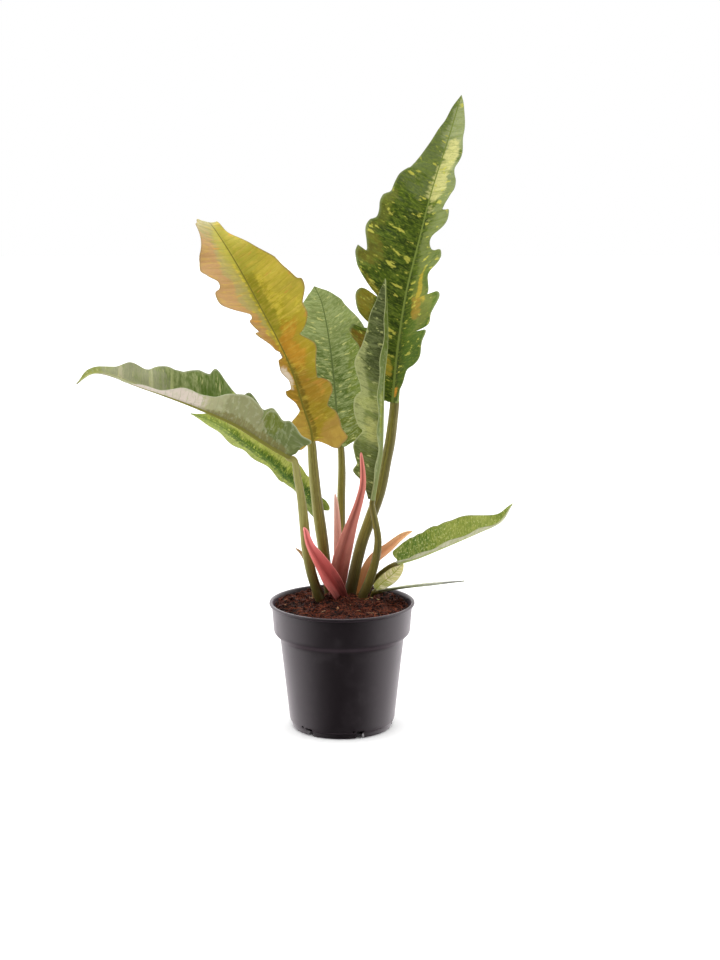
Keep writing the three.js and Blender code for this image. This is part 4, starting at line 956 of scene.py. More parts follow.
def scattered(count, seed, reach):
    """Seeded random places on a disc, with their heights on the growing mix."""
    draw = np.random.default_rng(seed)
    radius = reach * np.sqrt(draw.random(count))
    angle = 2 * np.pi * draw.random(count)
    x, y = radius * np.cos(angle), radius * np.sin(angle)
    lumps = bpy.context.scene.philodendron_mix.lumps / MM
    return draw, np.stack([x, y, mix_height(x, y, lumps)], -1)


def fibre_net(start, middle, end, thick):
    """Thin rods with four sides, each along a curve from its start towards its middle to its
    end. Their half thickness is the sine of the way along raised to 0.4, so both ends are
    points."""
    t = np.linspace(0, 1, FIBRE_STEPS)[None, :, None]
    path = bowed(start[:, None], middle[:, None], end[:, None], t)
    way = unit(np.gradient(path, axis=1))
    aside = unit(np.cross(way, np.array([0.13, 0.31, 0.94])))
    above = np.cross(way, aside)
    angle = full_turn(FIBRE_SIDES)
    radius = (thick[:, None] * np.sin(np.pi * t[..., 0]) ** 0.4)[..., None, None]
    ring = (aside[:, :, None] * np.cos(angle)[:, None]
            + above[:, :, None] * np.sin(angle)[:, None])
    points = path[:, :, None] + radius * ring
    faces = repeated(ring_faces(FIBRE_STEPS, FIBRE_SIDES), FIBRE_STEPS * FIBRE_SIDES, len(start))
    return points.reshape(-1, 3), faces.reshape(-1, 4)


def rounded(profile, radius, steps):
    """A profile with each corner cut back by the radius, or by under half of a short side, and
    closed by a curve that leaves and meets both sides along them."""
    p = np.array(profile, float)
    before, corner, after = p[:-2], p[1:-1], p[2:]
    into = np.linalg.norm(corner - before, axis=1, keepdims=True)
    out = np.linalg.norm(after - corner, axis=1, keepdims=True)
    cut = np.minimum(radius, 0.45 * np.minimum(into, out))
    start = corner + (before - corner) * cut / into
    end = corner + (after - corner) * cut / out
    t = np.linspace(0, 1, steps)[None, :, None]
    arcs = bowed(start[:, None], corner[:, None], end[:, None], t)
    return np.concatenate([p[:1], arcs.reshape(-1, 2), p[-1:]])


def pot_profile():
    """The pot's wall from the middle of its underside, up the outside and down the inside."""
    floor_top = FLOOR_RAISE + FLOOR_THICKNESS
    pad_and_foot = [
        (0, 0), (PAD_RADIUS, 0), (PAD_RADIUS + 2, FLOOR_RAISE), (BASE_RADIUS - 4.5, FLOOR_RAISE),
        (BASE_RADIUS - 3.6, 0), (BASE_RADIUS, 0), (BASE_RADIUS + 0.6, 4.6),
        (BASE_RADIUS + 1.8, 5.4), (BASE_RADIUS + 2.4, 8)]
    wall_and_band = [
        (51.8, BAND_LOWER_EDGE - 5), (56.9, BAND_LOWER_EDGE), (58.6, POT_HEIGHT - 2.6)]
    lip = [
        (LIP_RADIUS - 0.5, POT_HEIGHT - 2.3), (LIP_RADIUS, POT_HEIGHT - 1.2),
        (LIP_RADIUS - 0.5, POT_HEIGHT), (58.2, POT_HEIGHT), (57.2, POT_HEIGHT - 2.4)]
    inside = [
        (55.5, BAND_LOWER_EDGE + 0.6), (51.8 - WALL, BAND_LOWER_EDGE - 4.4),
        (BASE_RADIUS + 2.4 - WALL, 8), (BASE_RADIUS + 0.2 - WALL, floor_top), (0, floor_top)]
    return pad_and_foot + wall_and_band + lip + inside


def notch_cutter():
    """Boxes through the foot at equal turns, each with a small ball beside it that cuts a
    dent."""
    work = bmesh.new()
    for i in range(NOTCH_COUNT):
        turn = math.radians(NOTCH_FIRST_ANGLE - 90 + i * 360 / NOTCH_COUNT)
        box = bmesh.ops.create_cube(work, size=1.0)["verts"]
        place = np.array([v.co[:] for v in box])
        place *= np.array([NOTCH_THROUGH, NOTCH_WIDTH, 2 * NOTCH_HEIGHT])
        place[:, 0] += BASE_RADIUS - NOTCH_INSET
        spin = np.array([[math.cos(turn), -math.sin(turn), 0],
                         [math.sin(turn), math.cos(turn), 0], [0, 0, 1]])
        for vert, point in zip(box, place @ spin.T * MM):
            vert.co = point
        turn += math.radians(DENT_TURN)
        ball = bmesh.ops.create_icosphere(work, subdivisions=2, radius=DENT_RADIUS * MM)["verts"]
        out = BASE_RADIUS + DENT_OUT
        place = np.array([out * math.cos(turn), out * math.sin(turn), NOTCH_HEIGHT]) * MM
        bmesh.ops.translate(work, verts=ball, vec=place)
    mesh = bpy.data.meshes.new("notch_cutter")
    work.to_mesh(mesh)
    work.free()
    cutter = bpy.data.objects.new("notch_cutter", mesh)
    bpy.context.scene.collection.objects.link(cutter)
    return cutter


# Nodes of the materials and of the light round the plant


class Value:
    """A socket that can be used in a sum, product or power like a number."""

    def __init__(self, nodes, socket):
        self.nodes = nodes
        self.socket = socket

    def __add__(self, other):
        return self.nodes.maths("ADD", self, other)

    __radd__ = __add__

    def __sub__(self, other):
        return self.nodes.maths("SUBTRACT", self, other)

    def __rsub__(self, other):
        return self.nodes.maths("SUBTRACT", other, self)

    def __mul__(self, other):
        return self.nodes.maths("MULTIPLY", self, other)

    __rmul__ = __mul__

    def __truediv__(self, other):
        return self.nodes.maths("DIVIDE", self, other)

    def __rtruediv__(self, other):
        return self.nodes.maths("DIVIDE", other, self)

    def __pow__(self, other):
        return self.nodes.maths("POWER", self, other)

    def __abs__(self):
        return self.nodes.maths("ABSOLUTE", self)


class Nodes:
    """A node tree, with short ways to add to it."""

    def __init__(self, tree):
        self.tree = tree

    def feed(self, socket, value):
        """Links a worked-out value to a socket, or sets the socket's own number or colour."""
        if isinstance(value, Value):
            self.tree.links.new(value.socket, socket)
        elif isinstance(value, str):
            socket.default_value = paint(value)
        else:
            socket.default_value = value

    def node(self, kind, settings=None, inputs=None, output=0):
        """Adds a node: its settings first, then the values or links of its sockets."""
        made = self.tree.nodes.new(kind)
        for key, value in (settings or {}).items():
            setattr(made, key, value)
        for key, value in (inputs or {}).items():
            self.feed(made.inputs[key], value)
        return Value(self, made.outputs[output])

    def maths(self, operation, *values):
        """One step of arithmetic on values or numbers."""
        return self.node("ShaderNodeMath", {"operation": operation}, dict(enumerate(values)))

    def parts(self, vector):
        """The three numbers of a vector."""
        split = self.node("ShaderNodeSeparateXYZ", None, {0: vector}).socket.node
        return [Value(self, socket) for socket in split.outputs]

    def attribute(self, name):
        """The three numbers kept on the mesh under a name."""
        return self.parts(self.node("ShaderNodeAttribute", {"attribute_name": name}, None,
                                    "Vector"))

    def join(self, x, y, z):
        """A vector of three numbers."""
        return self.node("ShaderNodeCombineXYZ", None, {0: x, 1: y, 2: z})

    def place(self, kind="Object"):
        """The place on the object, or the way looked in where the kind is Generated."""
        return self.node("ShaderNodeTexCoord", None, None, kind)

    def noise(self, vector, scale, detail, roughness):
        """Cloudy values round a half."""
        return self.node("ShaderNodeTexNoise", None, {"Vector": vector, "Scale": scale,
                                                      "Detail": detail, "Roughness": roughness})

    def rise(self, low, high, value, least=0.0, most=1.0):
        """The least below low and the most above high, smooth between. If low is the higher it
        falls from 1 to 0 instead."""
        if low > high:
            return 1 - self.rise(high, low, value)
        return self.node("ShaderNodeMapRange", {"interpolation_type": "SMOOTHSTEP"},
                         {"Value": value, "From Min": low, "From Max": high,
                          "To Min": least, "To Max": most})

    def mix(self, share, first, second):
        """The first colour where the share is 0, the second where it is 1."""
        return self.node("ShaderNodeMix", {"data_type": "RGBA"},
                         {0: share, 6: first, 7: second}, 2)

    def bump(self, height, strength, distance):
        """A normal that tilts as the height rises and falls."""
        return self.node("ShaderNodeBump", None,
                         {"Height": height, "Strength": strength, "Distance": distance})


class Finish(Nodes):
    """One material and its nodes."""

    def __init__(self, name):
        self.material = bpy.data.materials.new(name)
        self.material.use_nodes = True
        super().__init__(self.material.node_tree)
        self.shader = self.tree.nodes["Principled BSDF"]

    def set(self, **sockets):
        """Feeds the shader's own sockets. Underscores in a name stand for spaces."""
        for key, value in sockets.items():
            self.feed(self.shader.inputs[key.replace("_", " ")], value)
        return self.material


# Finishes of the pieces


def skin_noise(f, walked, aside, kind, seed):
    """Noise drawn out along the veins. Its kind holds its sizes along the rib and along the
    veins, its detail and roughness, and what is added to the seed."""
    along_rib, along_vein, detail, roughness, shift = kind
    return f.noise(f.join(walked / along_rib, aside / along_vein, seed + shift), 1.0, detail,
                   roughness)


def patched(f, colour, patches, root, signed, wobble):
    """Lays oval patches on a colour, each ragged by the wobble."""
    for at, out, half, spread, shade, strength in patches:
        along_rib = (root - at) / half
        along_vein = (signed - out) / spread
        distance = (along_rib * along_rib + along_vein * along_vein) ** 0.5
        colour = f.mix(f.rise(1.25, 0.75, distance + wobble) * strength, colour, shade)
    return colour


def blade_finish(name, skin, vein_step, rib_width, seed):
    """Leaf skin. Clouds of two greens, dark mottles, patches, streaks, specks and flecks are
    all drawn out along the veins. Over them come the side veins, the margin and the rib. The
    back is paler, with patches, marbling, veins, margin and rib of its own."""
    f = Finish(name)
    walked, aside, reach = f.attribute("vein")
    root, signed, face = f.attribute("spot")
    cloud = skin_noise(f, walked, aside, (*skin["cloud"], *CLOUD), seed)
    streak = skin_noise(f, walked, aside, STREAK, seed)
    grain = skin_noise(f, walked, aside, GRAIN, seed)
    mottle = skin_noise(f, walked, aside, MOTTLE, seed)
    fleck = skin_noise(f, walked, aside, (*skin["fleck_size"], *FLECK), seed)
    line = abs(f.maths("SINE", walked * (math.pi / vein_step) + (cloud - 0.5) * 1.5))

    wobble = (streak - 0.5) * 0.9 + (cloud - 0.5) * 1.3 + (mottle - 0.5) * 1.2
    ground = cloud * 0.35 + streak * 0.3 + mottle * 0.35
    shade = f.rise(0.5, 0.4, grain) * 0.45 + f.rise(0.47, 0.38, mottle) * 0.4
    flecks = f.rise(skin["fleck_from"], skin["fleck_from"] + 0.07, fleck)
    veins = f.rise(0.22, 0.0, line) * f.rise(1.0, 0.7, reach)
    margin = f.rise(0.93, 1.0, reach)
    beside_rib = abs(aside) / ((1 - root) * rib_width[0] + root * rib_width[-1])

    colour = f.mix(f.rise(0.43, 0.57, ground), skin["dark"], skin["light"])
    colour = f.mix(shade, colour, skin["dark"])
    colour = patched(f, colour, skin["patches"], root, signed, wobble)
    colour = f.mix(f.rise(0.5, 0.62, streak) * skin["streak_share"], colour, skin["streak"])
    colour = f.mix(shade * skin["mottling"], colour, skin["dark"])
    colour = f.mix(f.rise(0.53, 0.62, grain) * skin["speck_share"], colour, skin["speck"])
    colour = f.mix(flecks * f.rise(0.02, 0.1, reach) * 0.85, colour, skin["fleck"])
    colour = f.mix(veins * 0.4, colour, skin["vein"])
    colour = f.mix(margin * 0.75, colour, skin["margin"])
    colour = f.mix(f.rise(0.5, 0.28, beside_rib), colour, skin["rib"])

    back = f.mix(f.rise(0.44, 0.56, ground) * 0.4, skin["back"], skin["light"])
    back = patched(f, back, skin["back_patches"], root, signed, wobble)
    back = f.mix(f.rise(0.5, 0.65, streak) * 0.25, back, skin["light"])
    back = f.mix(f.rise(0.52, 0.64, mottle) * 0.3, back, skin["margin"])
    back = f.mix(veins * 0.5, back, skin["vein"])
    back = f.mix(margin * 0.5, back, skin["margin"])
    back = f.mix(f.rise(1.2, 0.9, beside_rib), back, skin["rib"])

    height = grain * 0.3 + streak * 0.25 + line * 0.3 + fleck * 0.15
    return f.set(Base_Color=f.mix(face, back, colour),
                 Roughness=0.5 + (grain - 0.5) * 0.25 + (1 - face) * 0.12,
                 Normal=f.bump(height, 0.35, 0.0006), Specular_IOR_Level=0.2)


def stem_finish(name, colours):
    """Leaf stem: olive skin with fine stripes along it, a painted highlight down its left edge
    and painted shade down its right, and browner towards its foot."""
    f = Finish(name)
    walked, turn, tilt = f.attribute("vein")
    share, _, _ = f.attribute("spot")
    stripe = f.noise(f.join(walked / 60, turn * 9, tilt * 9), 1.0, 3.0, 0.6)
    mottle = f.noise(f.join(walked / 6, turn * 2, tilt * 2), 1.0, 3.0, 0.6)
    colour = f.mix(f.rise(0.35, 0.65, stripe), colours["dark"], colours["light"])
    colour = f.mix(f.rise(0.5, 0.7, mottle) * 0.25, colour, colours["pale"])
    # Painted highlight: the stem's left edge is made paler
    colour = f.mix(f.rise(-0.5, -0.95, turn) * 0.6, colour, colours["pale"])
    # Painted shade: the stem's right edge is made browner
    colour = f.mix(f.rise(0.1, 0.9, turn) * 0.4, colour, colours["foot"])
    colour = f.mix(f.rise(0.42, 0.02, share) * 0.9, colour, colours["foot"])
    return f.set(Base_Color=colour, Roughness=0.42 + stripe * 0.12, Specular_IOR_Level=0.45,
                 Normal=f.bump(stripe * 0.6 + mottle * 0.4, 0.25, 0.0005))


def sheath_finish(name, colours):
    """Bud sheath: a pink skin that runs from a pale tip to a red-brown foot, with painted shade
    along its middle fold and faint lines from tip to foot."""
    f = Finish(name)
    walked, aside, reach = f.attribute("vein")
    root, _, _ = f.attribute("spot")
    lines = f.noise(f.join(walked / 45, aside / 0.7, 0.0), 1.0, 3.0, 0.6)
    mottle = f.noise(f.join(walked / 9, aside / 4, 3.0), 1.0, 3.0, 0.6)
    # Painted shade: where the sheath's middle fold is darkened
    fold_shade = f.rise(0.55, 0.1, reach) * f.rise(0.1, 0.3, root)
    colour = f.mix(f.rise(0.1, 0.55, root + (mottle - 0.5) * 0.3), colours["foot"],
                   colours["middle"])
    colour = f.mix(f.rise(0.55, 1.0, root), colour, colours["tip"])
    # The painted shade along the middle fold is laid on here
    colour = f.mix(fold_shade * 0.7, colour, colours["fold_shade"])
    colour = f.mix(f.rise(0.45, 0.75, lines) * 0.25, colour, colours["tip"])
    colour = f.mix(f.rise(0.9, 1.0, reach) * 0.4, colour, colours["tip"])
    return f.set(Base_Color=colour, Roughness=0.45 + lines * 0.12, Specular_IOR_Level=0.4,
                 Normal=f.bump(lines * 0.7 + mottle * 0.3, 0.25, 0.0005))


def mix_finish(name):
    """Moist coir and bark: near black to red-brown, in grains of about a millimetre, with wide
    darker patches."""
    f = Finish(name)
    place = f.place()
    wide = f.noise(place, 38.0, 2.0, 0.5)
    coarse = f.noise(place, 190.0, 4.0, 0.65)
    fine = f.noise(place, 900.0, 4.0, 0.7)
    colour = f.mix(f.rise(0.45, 0.62, coarse), "#060201", "#3a160d")
    colour = f.mix(f.rise(0.5, 0.62, fine) * 0.8, colour, "#7a3822")
    colour = f.mix(f.rise(0.5, 0.6, wide) * 0.75, colour, "#080302")
    return f.set(Base_Color=colour, Roughness=0.8 - fine * 0.2, Specular_IOR_Level=0.15,
                 Normal=f.bump(coarse * 0.5 + fine * 0.5, 0.9, 0.0012))


def crumb_finish(name, dark, light, pale):
    """Crumbs, fibres and rootlets: each has its own shade, kept on its points, and a few are
    pale."""
    f = Finish(name)
    tone, pick, _ = f.attribute("tone")
    fine = f.noise(f.place(), 1400.0, 3.0, 0.65)
    colour = f.mix(tone, dark, light)
    colour = f.mix(f.rise(0.45, 0.7, fine) * 0.5, colour, dark)
    colour = f.mix(f.rise(*PALE_PICK, pick), colour, pale)
    return f.set(Base_Color=colour, Roughness=0.85 - fine * 0.2, Specular_IOR_Level=0.15,
                 Normal=f.bump(fine, 0.7, 0.0006))


def pot_finish(name, colour):
    """Black moulded plastic: satin, with a faint grain, turning lines and dusty smears."""
    f = Finish(name)
    place = f.place()
    _, _, z = f.parts(place)
    grain = f.noise(place, 2600.0, 2.0, 0.6)
    cloud = f.noise(place, 55.0, 4.0, 0.6)
    rings = f.noise(f.join(0.0, 0.0, z * 900.0), 1.0, 3.0, 0.6)
    smear = f.rise(0.5, 0.75, cloud)
    skin = f.mix(smear * 0.25, (*colour, 1.0), "#3a3437")
    return f.set(Base_Color=skin, Roughness=0.36 + smear * 0.1 + grain * 0.06,
                 Normal=f.bump(grain * 0.5 + rings * 0.5, 0.12, 0.0003),
                 Specular_IOR_Level=0.5, Specular_Tint=(1.0, 0.93, 0.97, 1.0),
                 Sheen_Weight=0.16, Sheen_Roughness=0.5, Sheen_Tint=(1.0, 0.72, 0.88, 1.0))


def floor_finish(name, colour):
    """A pale, dull floor with faint clouds."""
    f = Finish(name)
    cloud = f.noise(f.place(), 2.0, 2.0, 0.5)
    shade = f.mix(cloud * 0.1, (*colour, 1.0), "#efefef")
    return f.set(Base_Color=shade, Roughness=0.9, Specular_IOR_Level=0.1)


# Sizes and colours that a user may change


class LeafSettings(PropertyGroup):
    """Sizes and colours of the leaves and their stems"""

    thickness: FloatProperty(
        name="Blade thickness", description="Thickness of a blade beside its rib",
        default=0.8 * MM, min=0.3 * MM, unit="LENGTH")
    thin_edge: FloatProperty(
        name="Edge thinning", description="Share of the thickness that is lost at the margin",
        default=0.45, min=0.0, max=0.8, subtype="FACTOR")
    vein_step: FloatProperty(
        name="Vein spacing", description="Distance between side veins along the rib",
        default=6.0 * MM, min=1.0 * MM, unit="LENGTH")
    swell: FloatProperty(
        name="Swelling", description="How far the skin stands up between two side veins",
        default=0.22 * MM, unit="LENGTH")
    pucker: FloatProperty(
        name="Pucker", description="Height of the uneven ripples of a blade",
        default=0.5 * MM, unit="LENGTH")
    stem_sides: IntProperty(
        name="Stem sides", description="Number of points round a stem", default=40, min=8)
    stem_dark: FloatVectorProperty(
        name="Stem colour", description="Darker olive of a stem's stripes",
        default=paint("#5c5514")[:3], subtype="COLOR")
    stem_light: FloatVectorProperty(
        name="Stem stripe colour", description="Lighter olive of a stem's stripes",
        default=paint("#857b2e")[:3], subtype="COLOR")


class MixSettings(PropertyGroup):
    """Sizes and numbers of what makes up the growing mix"""

    lumps: FloatProperty(
        name="Lump height", description="Height of the lumps of the growing mix",
        default=2.1 * MM, unit="LENGTH")
    crumbs: IntProperty(
        name="Crumbs", description="Number of loose crumbs on the growing mix", default=1500, min=0)
    fibres: IntProperty(
        name="Fibres", description="Number of coir fibres on the growing mix", default=900, min=0)


class PotSettings(PropertyGroup):
    """Colour and fineness of the pot"""

    colour: FloatVectorProperty(
        name="Pot colour", description="Colour of the moulded plastic",
        default=paint("#110a0e")[:3], subtype="COLOR")
    sides: IntProperty(
        name="Pot sides", description="Number of points round the pot", default=240, min=24)


class StageSettings(PropertyGroup):
    """The camera, the light and the floor"""

    camera_distance: FloatProperty(
        name="Camera distance", description="Distance of the camera in front of the pot's axis",
        default=1.5, unit="LENGTH")
    camera_height: FloatProperty(
        name="Camera height", description="Height of the camera over the floor",
        default=0.49, unit="LENGTH")
    camera_aside: FloatProperty(
        name="Camera offset", description="How far the camera stands to the right of the pot",
        default=0.015, unit="LENGTH")
    camera_pitch: FloatProperty(
        name="Camera pitch", description="How far the camera looks down",
        default=math.radians(10.6), subtype="ANGLE")
    focal_pixels: FloatProperty(
        name="Focal length", description="Focal length in pixels of the 720 by 960 picture",
        default=1852.0, subtype="PIXEL")
    floor_colour: FloatVectorProperty(
        name="Floor colour", description="Colour of the floor",
        default=(0.9, 0.9, 0.9), subtype="COLOR")
    side_strength: FloatProperty(
        name="Side brightness", description="Brightness of the white tent at its sides",
        default=2.2, min=0.0)
    front_strength: FloatProperty(
        name="Front brightness", description="Brightness of the tent's opening at the camera",
        default=0.03, min=0.0)
    top_power: FloatProperty(
        name="Top light power", description="Power of the soft light above the camera's side",
        default=12.0, min=0.0, subtype="POWER", unit="POWER")


# Operators


class MakeBlades(Operator):
    """Makes the leaf blades"""

    bl_idname = "philodendron.blades"
    bl_label = "Leaf blades"

    def execute(self, context):
        sizes = context.scene.philodendron_leaves
        style = {**BLADE_STYLE, "vein_step": sizes.vein_step / MM, "swell": sizes.swell / MM,
                 "pucker": sizes.pucker / MM, "thickness": sizes.thickness / MM,
                 "thin_edge": sizes.thin_edge}
        for number, (name, leaf) in enumerate(LEAVES.items()):
            points, faces, values = blade_net(leaf, style)
            finish = blade_finish(f"leaf_{name}", SKINS[name], style["vein_step"],
                                  leaf["rib_width"], SKIN_SEED_STEP * number)
            add_piece(f"{name}_leaf_blade", points, faces, values, [f"blade_{name}"],
                      finish, BLADE_CREASE)
        return {"FINISHED"}


class MakeStems(Operator):
    """Makes the leaf stems"""

    bl_idname = "philodendron.stems"
    bl_label = "Leaf stems"

    def execute(self, context):
        sizes = context.scene.philodendron_leaves
        # The pale colour also paints the highlight down a stem's left edge, and the foot colour the
        # shade down its right
        finish = stem_finish("stem_skin", {"dark": (*sizes.stem_dark, 1.0),
                                           "light": (*sizes.stem_light, 1.0),
                                           "pale": "#9a9650", "foot": "#3c3212"})
        for name, leaf in LEAVES.items():
            points, faces, values = tube_net(stem_line(leaf), leaf["stem_across"],
                                             leaf["stem_deep"], sizes.stem_sides)
            add_piece(f"{name}_leaf_stem", points, faces, values, [f"stem_{name}"],
                      finish)
        return {"FINISHED"}


class MakeSheaths(Operator):
    """Makes the bud sheaths"""

    bl_idname = "philodendron.sheaths"
    bl_label = "Bud sheaths"

    def execute(self, context):
        for name, sheath in SHEATHS.items():
            leaf = {"rib": sheath["rib"], "face": sheath["face"], "lift_left": sheath["lift"],
                    "lift_right": sheath["lift"], "left": sheath["half"],
                    "right": sheath["half"], "rib_depth": sheath["depth"], "sweep": 0.0,
                    "rib_width": [max(width, 1) for _, width in sheath["half"]]}
            points, faces, values = blade_net(leaf, SHEATH_STYLE)
            finish = sheath_finish(f"sheath_{name}", SHEATH_COLOURS[name])
            add_piece(f"{name}_bud_sheath", points, faces, values, [f"sheath_{name}"],
                      finish, BLADE_CREASE)
        return {"FINISHED"}


class MakeMix(Operator):
    """Makes the growing mix"""

    bl_idname = "philodendron.mix"
    bl_label = "Growing mix"

    def execute(self, context):
        lumps = context.scene.philodendron_mix.lumps / MM
        floor = FLOOR_RAISE + FLOOR_THICKNESS + MIX_GAP
        wall = np.array([(0.0, floor), (36.0, floor), (41.2, floor + 5),
                         (48.8, BAND_LOWER_EDGE - 5), (54.2, BAND_LOWER_EDGE + 1),
                         (55.4, MIX_EDGE_HEIGHT - 3)])
        radii = np.concatenate([wall[:, 0], np.linspace(MIX_RADIUS, 0, MIX_RINGS)])
        x, y = turned(radii, MIX_SIDES)
        z = mix_height(x, y, lumps)
        z[:len(wall)] = wall[:, 1:]
        points = np.stack([x, y, z], -1)
        add_piece("coir_mix", points.reshape(-1, 3), ring_faces(*x.shape), {},
                  ["growing_mix"], mix_finish("coir"))
        return {"FINISHED"}


class MakeCrumbs(Operator):
    """Makes the loose crumbs on the growing mix"""

    bl_idname = "philodendron.crumbs"
    bl_label = "Crumbs"

    def execute(self, context):
        count = context.scene.philodendron_mix.crumbs
        draw, place = scattered(count, CRUMB_SEED, MIX_RADIUS - CRUMB_INSET)
        lump = bmesh.new()
        bmesh.ops.create_icosphere(lump, subdivisions=1, radius=1.0)
        ball = np.array([v.co[:] for v in lump.verts])
        ball_faces = np.array([[v.index for v in f.verts] for f in lump.faces])
        lump.free()
        size = CRUMB_LEAST + CRUMB_MORE * draw.random((count, 1, 1)) ** CRUMB_RARITY
        stretch = draw.uniform(*CRUMB_STRETCH, (count, 1, 3))
        turn = np.linalg.qr(draw.normal(size=(count, 3, 3)))[0]
        turn *= np.sign(np.linalg.det(turn))[:, None, None]
        knobs = draw.uniform(*CRUMB_KNOBS, (count, len(ball), 1))
        points = np.einsum("nij,nkj->nki", turn, ball[None] * knobs * stretch * size)
        points += place[:, None] + np.array([0, 0, CRUMB_LIFT])
        faces = repeated(ball_faces, len(ball), count)
        tone = np.repeat(draw.random((count, 3)), len(ball), axis=0)
        add_piece("coir_crumbs", points.reshape(-1, 3), faces.reshape(-1, 3), {"tone": tone},
                  [], crumb_finish("crumbs", "#080201", "#5a2514", "#a87a58"))
        return {"FINISHED"}


class MakeFibres(Operator):
    """Makes the coir fibres and the pale rootlets"""

    bl_idname = "philodendron.fibres"
    bl_label = "Fibres and rootlets"

    def execute(self, context):
        count = context.scene.philodendron_mix.fibres
        draw, place = scattered(count, FIBRE_SEED, MIX_RADIUS - FIBRE_INSET)
        heading = draw.uniform(0, 2 * np.pi, count)
        reach = draw.uniform(*FIBRE_REACH, count)
        step = np.stack([np.cos(heading), np.sin(heading), np.zeros(count)], -1)
        step *= reach[:, None]
        rise = np.array([0, 0, 1.0])
        middle = place + rise * draw.uniform(*FIBRE_ARCH, (count, 1))
        start = place - step + rise * draw.uniform(*FIBRE_START, (count, 1))
        end = place + step * draw.uniform(*FIBRE_BEYOND, (count, 1)) + rise * FIBRE_END_LIFT
        thick = draw.uniform(*FIBRE_THICK, count)
        self.add(draw, "coir_fibres", (start, middle, end), thick,
                 ("fibres", "#2a0e06", "#a2583a", "#d0ac84"))
        roots = np.array(ROOTLETS, float)
        self.add(draw, "rootlets", (roots[:, 0], roots[:, 1], roots[:, 2]),
                 np.full(len(roots), ROOTLET_THICK),
                 ("rootlet", "#a08c50", "#c9b987", "#d8caa0"))
        return {"FINISHED"}

    def add(self, draw, name, curve, thick, look):
        """Adds rods along the curves as one piece, each with a shade drawn for it."""
        points, faces = fibre_net(*curve, thick)
        tone = np.repeat(draw.random((len(thick), 3)), FIBRE_STEPS * FIBRE_SIDES, axis=0)
        add_piece(name, points, faces, {"tone": tone}, [], crumb_finish(*look))


class MakePot(Operator):
    """Makes the pot with its notched foot"""

    bl_idname = "philodendron.pot"
    bl_label = "Pot"

    def execute(self, context):
        pot = context.scene.philodendron_pot
        profile = rounded(pot_profile(), POT_ROUNDING, POT_ROUNDING_STEPS)
        x, y = turned(profile[:, 0], pot.sides)
        points = grid_vectors(x, y, profile[:, 1:], x.shape)
        shell = add_piece("nursery_pot", points.reshape(-1, 3), ring_faces(*x.shape), {},
                          ["pot"], pot_finish("black_plastic", pot.colour))
        cutter = notch_cutter()
        cut = shell.modifiers.new("notches", "BOOLEAN")
        cut.object = cutter
        cut.solver = "EXACT"
        view = context.evaluated_depsgraph_get()
        final = bpy.data.meshes.new_from_object(shell.evaluated_get(view))
        if not final.polygons:
            raise RuntimeError("the notches could not be cut from the pot's foot")
        shell.modifiers.clear()
        shell.data = final
        bpy.data.objects.remove(cutter)
        final.shade_smooth()
        final.set_sharp_from_angle(angle=math.radians(POT_CREASE))
        return {"FINISHED"}


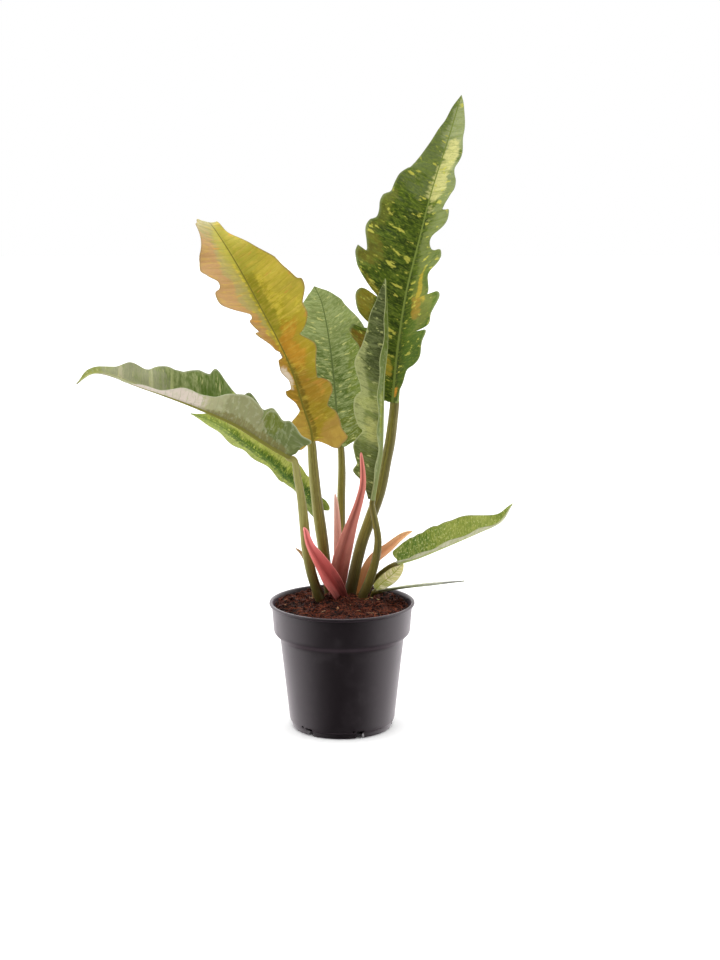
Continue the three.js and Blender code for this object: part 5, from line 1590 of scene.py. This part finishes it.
class MakeStage(Operator):
    """Makes the floor, the lights and the camera"""

    bl_idname = "philodendron.stage"
    bl_label = "Stage"

    def execute(self, context):
        stage = context.scene.philodendron_stage
        scene = context.scene
        self.floor(scene, stage)
        self.light(scene, stage)
        self.tent(scene, stage)
        self.camera(scene, stage)
        scene.view_settings.view_transform = "Standard"
        return {"FINISHED"}

    def floor(self, scene, stage):
        """A flat square just under the pot, which leaves no trace in shiny surfaces."""
        corners = np.array([(-1, -1), (1, -1), (1, 1), (-1, 1)]) * FLOOR_HALF
        mesh = bpy.data.meshes.new("floor")
        mesh.from_pydata([(x, y, -FLOOR_DROP) for x, y in corners.tolist()], [], [(0, 1, 2, 3)])
        mesh.materials.append(floor_finish("pale_floor", stage.floor_colour))
        floor = bpy.data.objects.new("floor", mesh)
        scene.collection.objects.link(floor)
        floor.visible_glossy = False

    def light(self, scene, stage):
        """A soft square light above the camera's side, which faces the middle of the plant."""
        data = bpy.data.lights.new("top_light", "AREA")
        data.shape = "RECTANGLE"
        data.size = LIGHT_SIDE
        data.size_y = LIGHT_SIDE
        data.energy = stage.top_power
        lamp = bpy.data.objects.new("top_light", data)
        lamp.location = LIGHT_PLACE
        aim = np.array(LIGHT_AIM) - np.array(LIGHT_PLACE)
        lamp.rotation_euler = (math.atan2(np.hypot(aim[0], aim[1]), -aim[2]), 0,
                               math.atan2(-aim[0], aim[1]))
        scene.collection.objects.link(lamp)

    def tent(self, scene, stage):
        """A white tent that is open towards the camera. Its light rises from dark at the front
        to bright at the sides and the back, and from dark below. The camera itself sees
        white."""
        world = bpy.data.worlds.new("white_tent")
        world.use_nodes = True
        nodes = Nodes(world.node_tree)
        _, backward, upward = nodes.parts(nodes.place("Generated"))
        light = (nodes.rise(*TENT_BACKWARD, backward, stage.front_strength, stage.side_strength)
                 * nodes.rise(*TENT_UPWARD, upward, stage.front_strength))
        seen = nodes.node("ShaderNodeLightPath", None, None, "Is Camera Ray")
        strength = nodes.node("ShaderNodeMix", None, {0: seen, 2: light, 3: 1.0})
        background = world.node_tree.nodes["Background"]
        nodes.feed(background.inputs["Color"], WHITE)
        nodes.feed(background.inputs["Strength"], strength)
        scene.world = world

    def camera(self, scene, stage):
        """The camera in front of the pot, looking a little down."""
        data = bpy.data.cameras.new("camera")
        data.sensor_width = SENSOR_MM
        data.lens = stage.focal_pixels * SENSOR_MM / IMAGE_HEIGHT
        data.clip_end = CAMERA_REACH
        camera = bpy.data.objects.new("camera", data)
        camera.location = (stage.camera_aside, -stage.camera_distance, stage.camera_height)
        camera.rotation_euler = (math.radians(90) - stage.camera_pitch, 0, 0)
        scene.collection.objects.link(camera)
        scene.camera = camera


class PlantPanel(Panel):
    """Lists the steps and their settings in the sidebar"""

    bl_idname = "VIEW3D_PT_philodendron"
    bl_label = "Potted philodendron"
    bl_space_type = "VIEW_3D"
    bl_region_type = "UI"
    bl_category = "Philodendron"

    def draw(self, context):
        for title, settings, steps in STEPS:
            box = self.layout.box()
            box.label(text=title)
            group = getattr(context.scene, settings)
            for name in type(group).__annotations__:
                box.prop(group, name)
            for step in steps:
                box.operator(step.bl_idname)


STEPS = (
    ("Leaves", "philodendron_leaves", (MakeBlades, MakeStems, MakeSheaths)),
    ("Growing mix", "philodendron_mix", (MakeMix, MakeCrumbs, MakeFibres)),
    ("Pot", "philodendron_pot", (MakePot,)),
    ("Stage", "philodendron_stage", (MakeStage,)),
)
GROUPS = {
    "philodendron_leaves": LeafSettings,
    "philodendron_mix": MixSettings,
    "philodendron_pot": PotSettings,
    "philodendron_stage": StageSettings,
}
OPERATORS = (MakeStage, MakePot, MakeMix, MakeCrumbs, MakeFibres, MakeStems, MakeBlades,
             MakeSheaths)


def register():
    for group in GROUPS.values():
        bpy.utils.register_class(group)
    for name, group in GROUPS.items():
        setattr(bpy.types.Scene, name, PointerProperty(type=group))
    for operator in OPERATORS:
        bpy.utils.register_class(operator)
    bpy.utils.register_class(PlantPanel)


def unregister():
    bpy.utils.unregister_class(PlantPanel)
    for operator in reversed(OPERATORS):
        bpy.utils.unregister_class(operator)
    for name in GROUPS:
        delattr(bpy.types.Scene, name)
    for group in reversed(list(GROUPS.values())):
        bpy.utils.unregister_class(group)


def main():
    """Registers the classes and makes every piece."""
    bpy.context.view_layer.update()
    register()
    for operator in OPERATORS:
        family, step = operator.bl_idname.split(".")
        getattr(getattr(bpy.ops, family), step)()


if __name__ == "__main__":
    main()
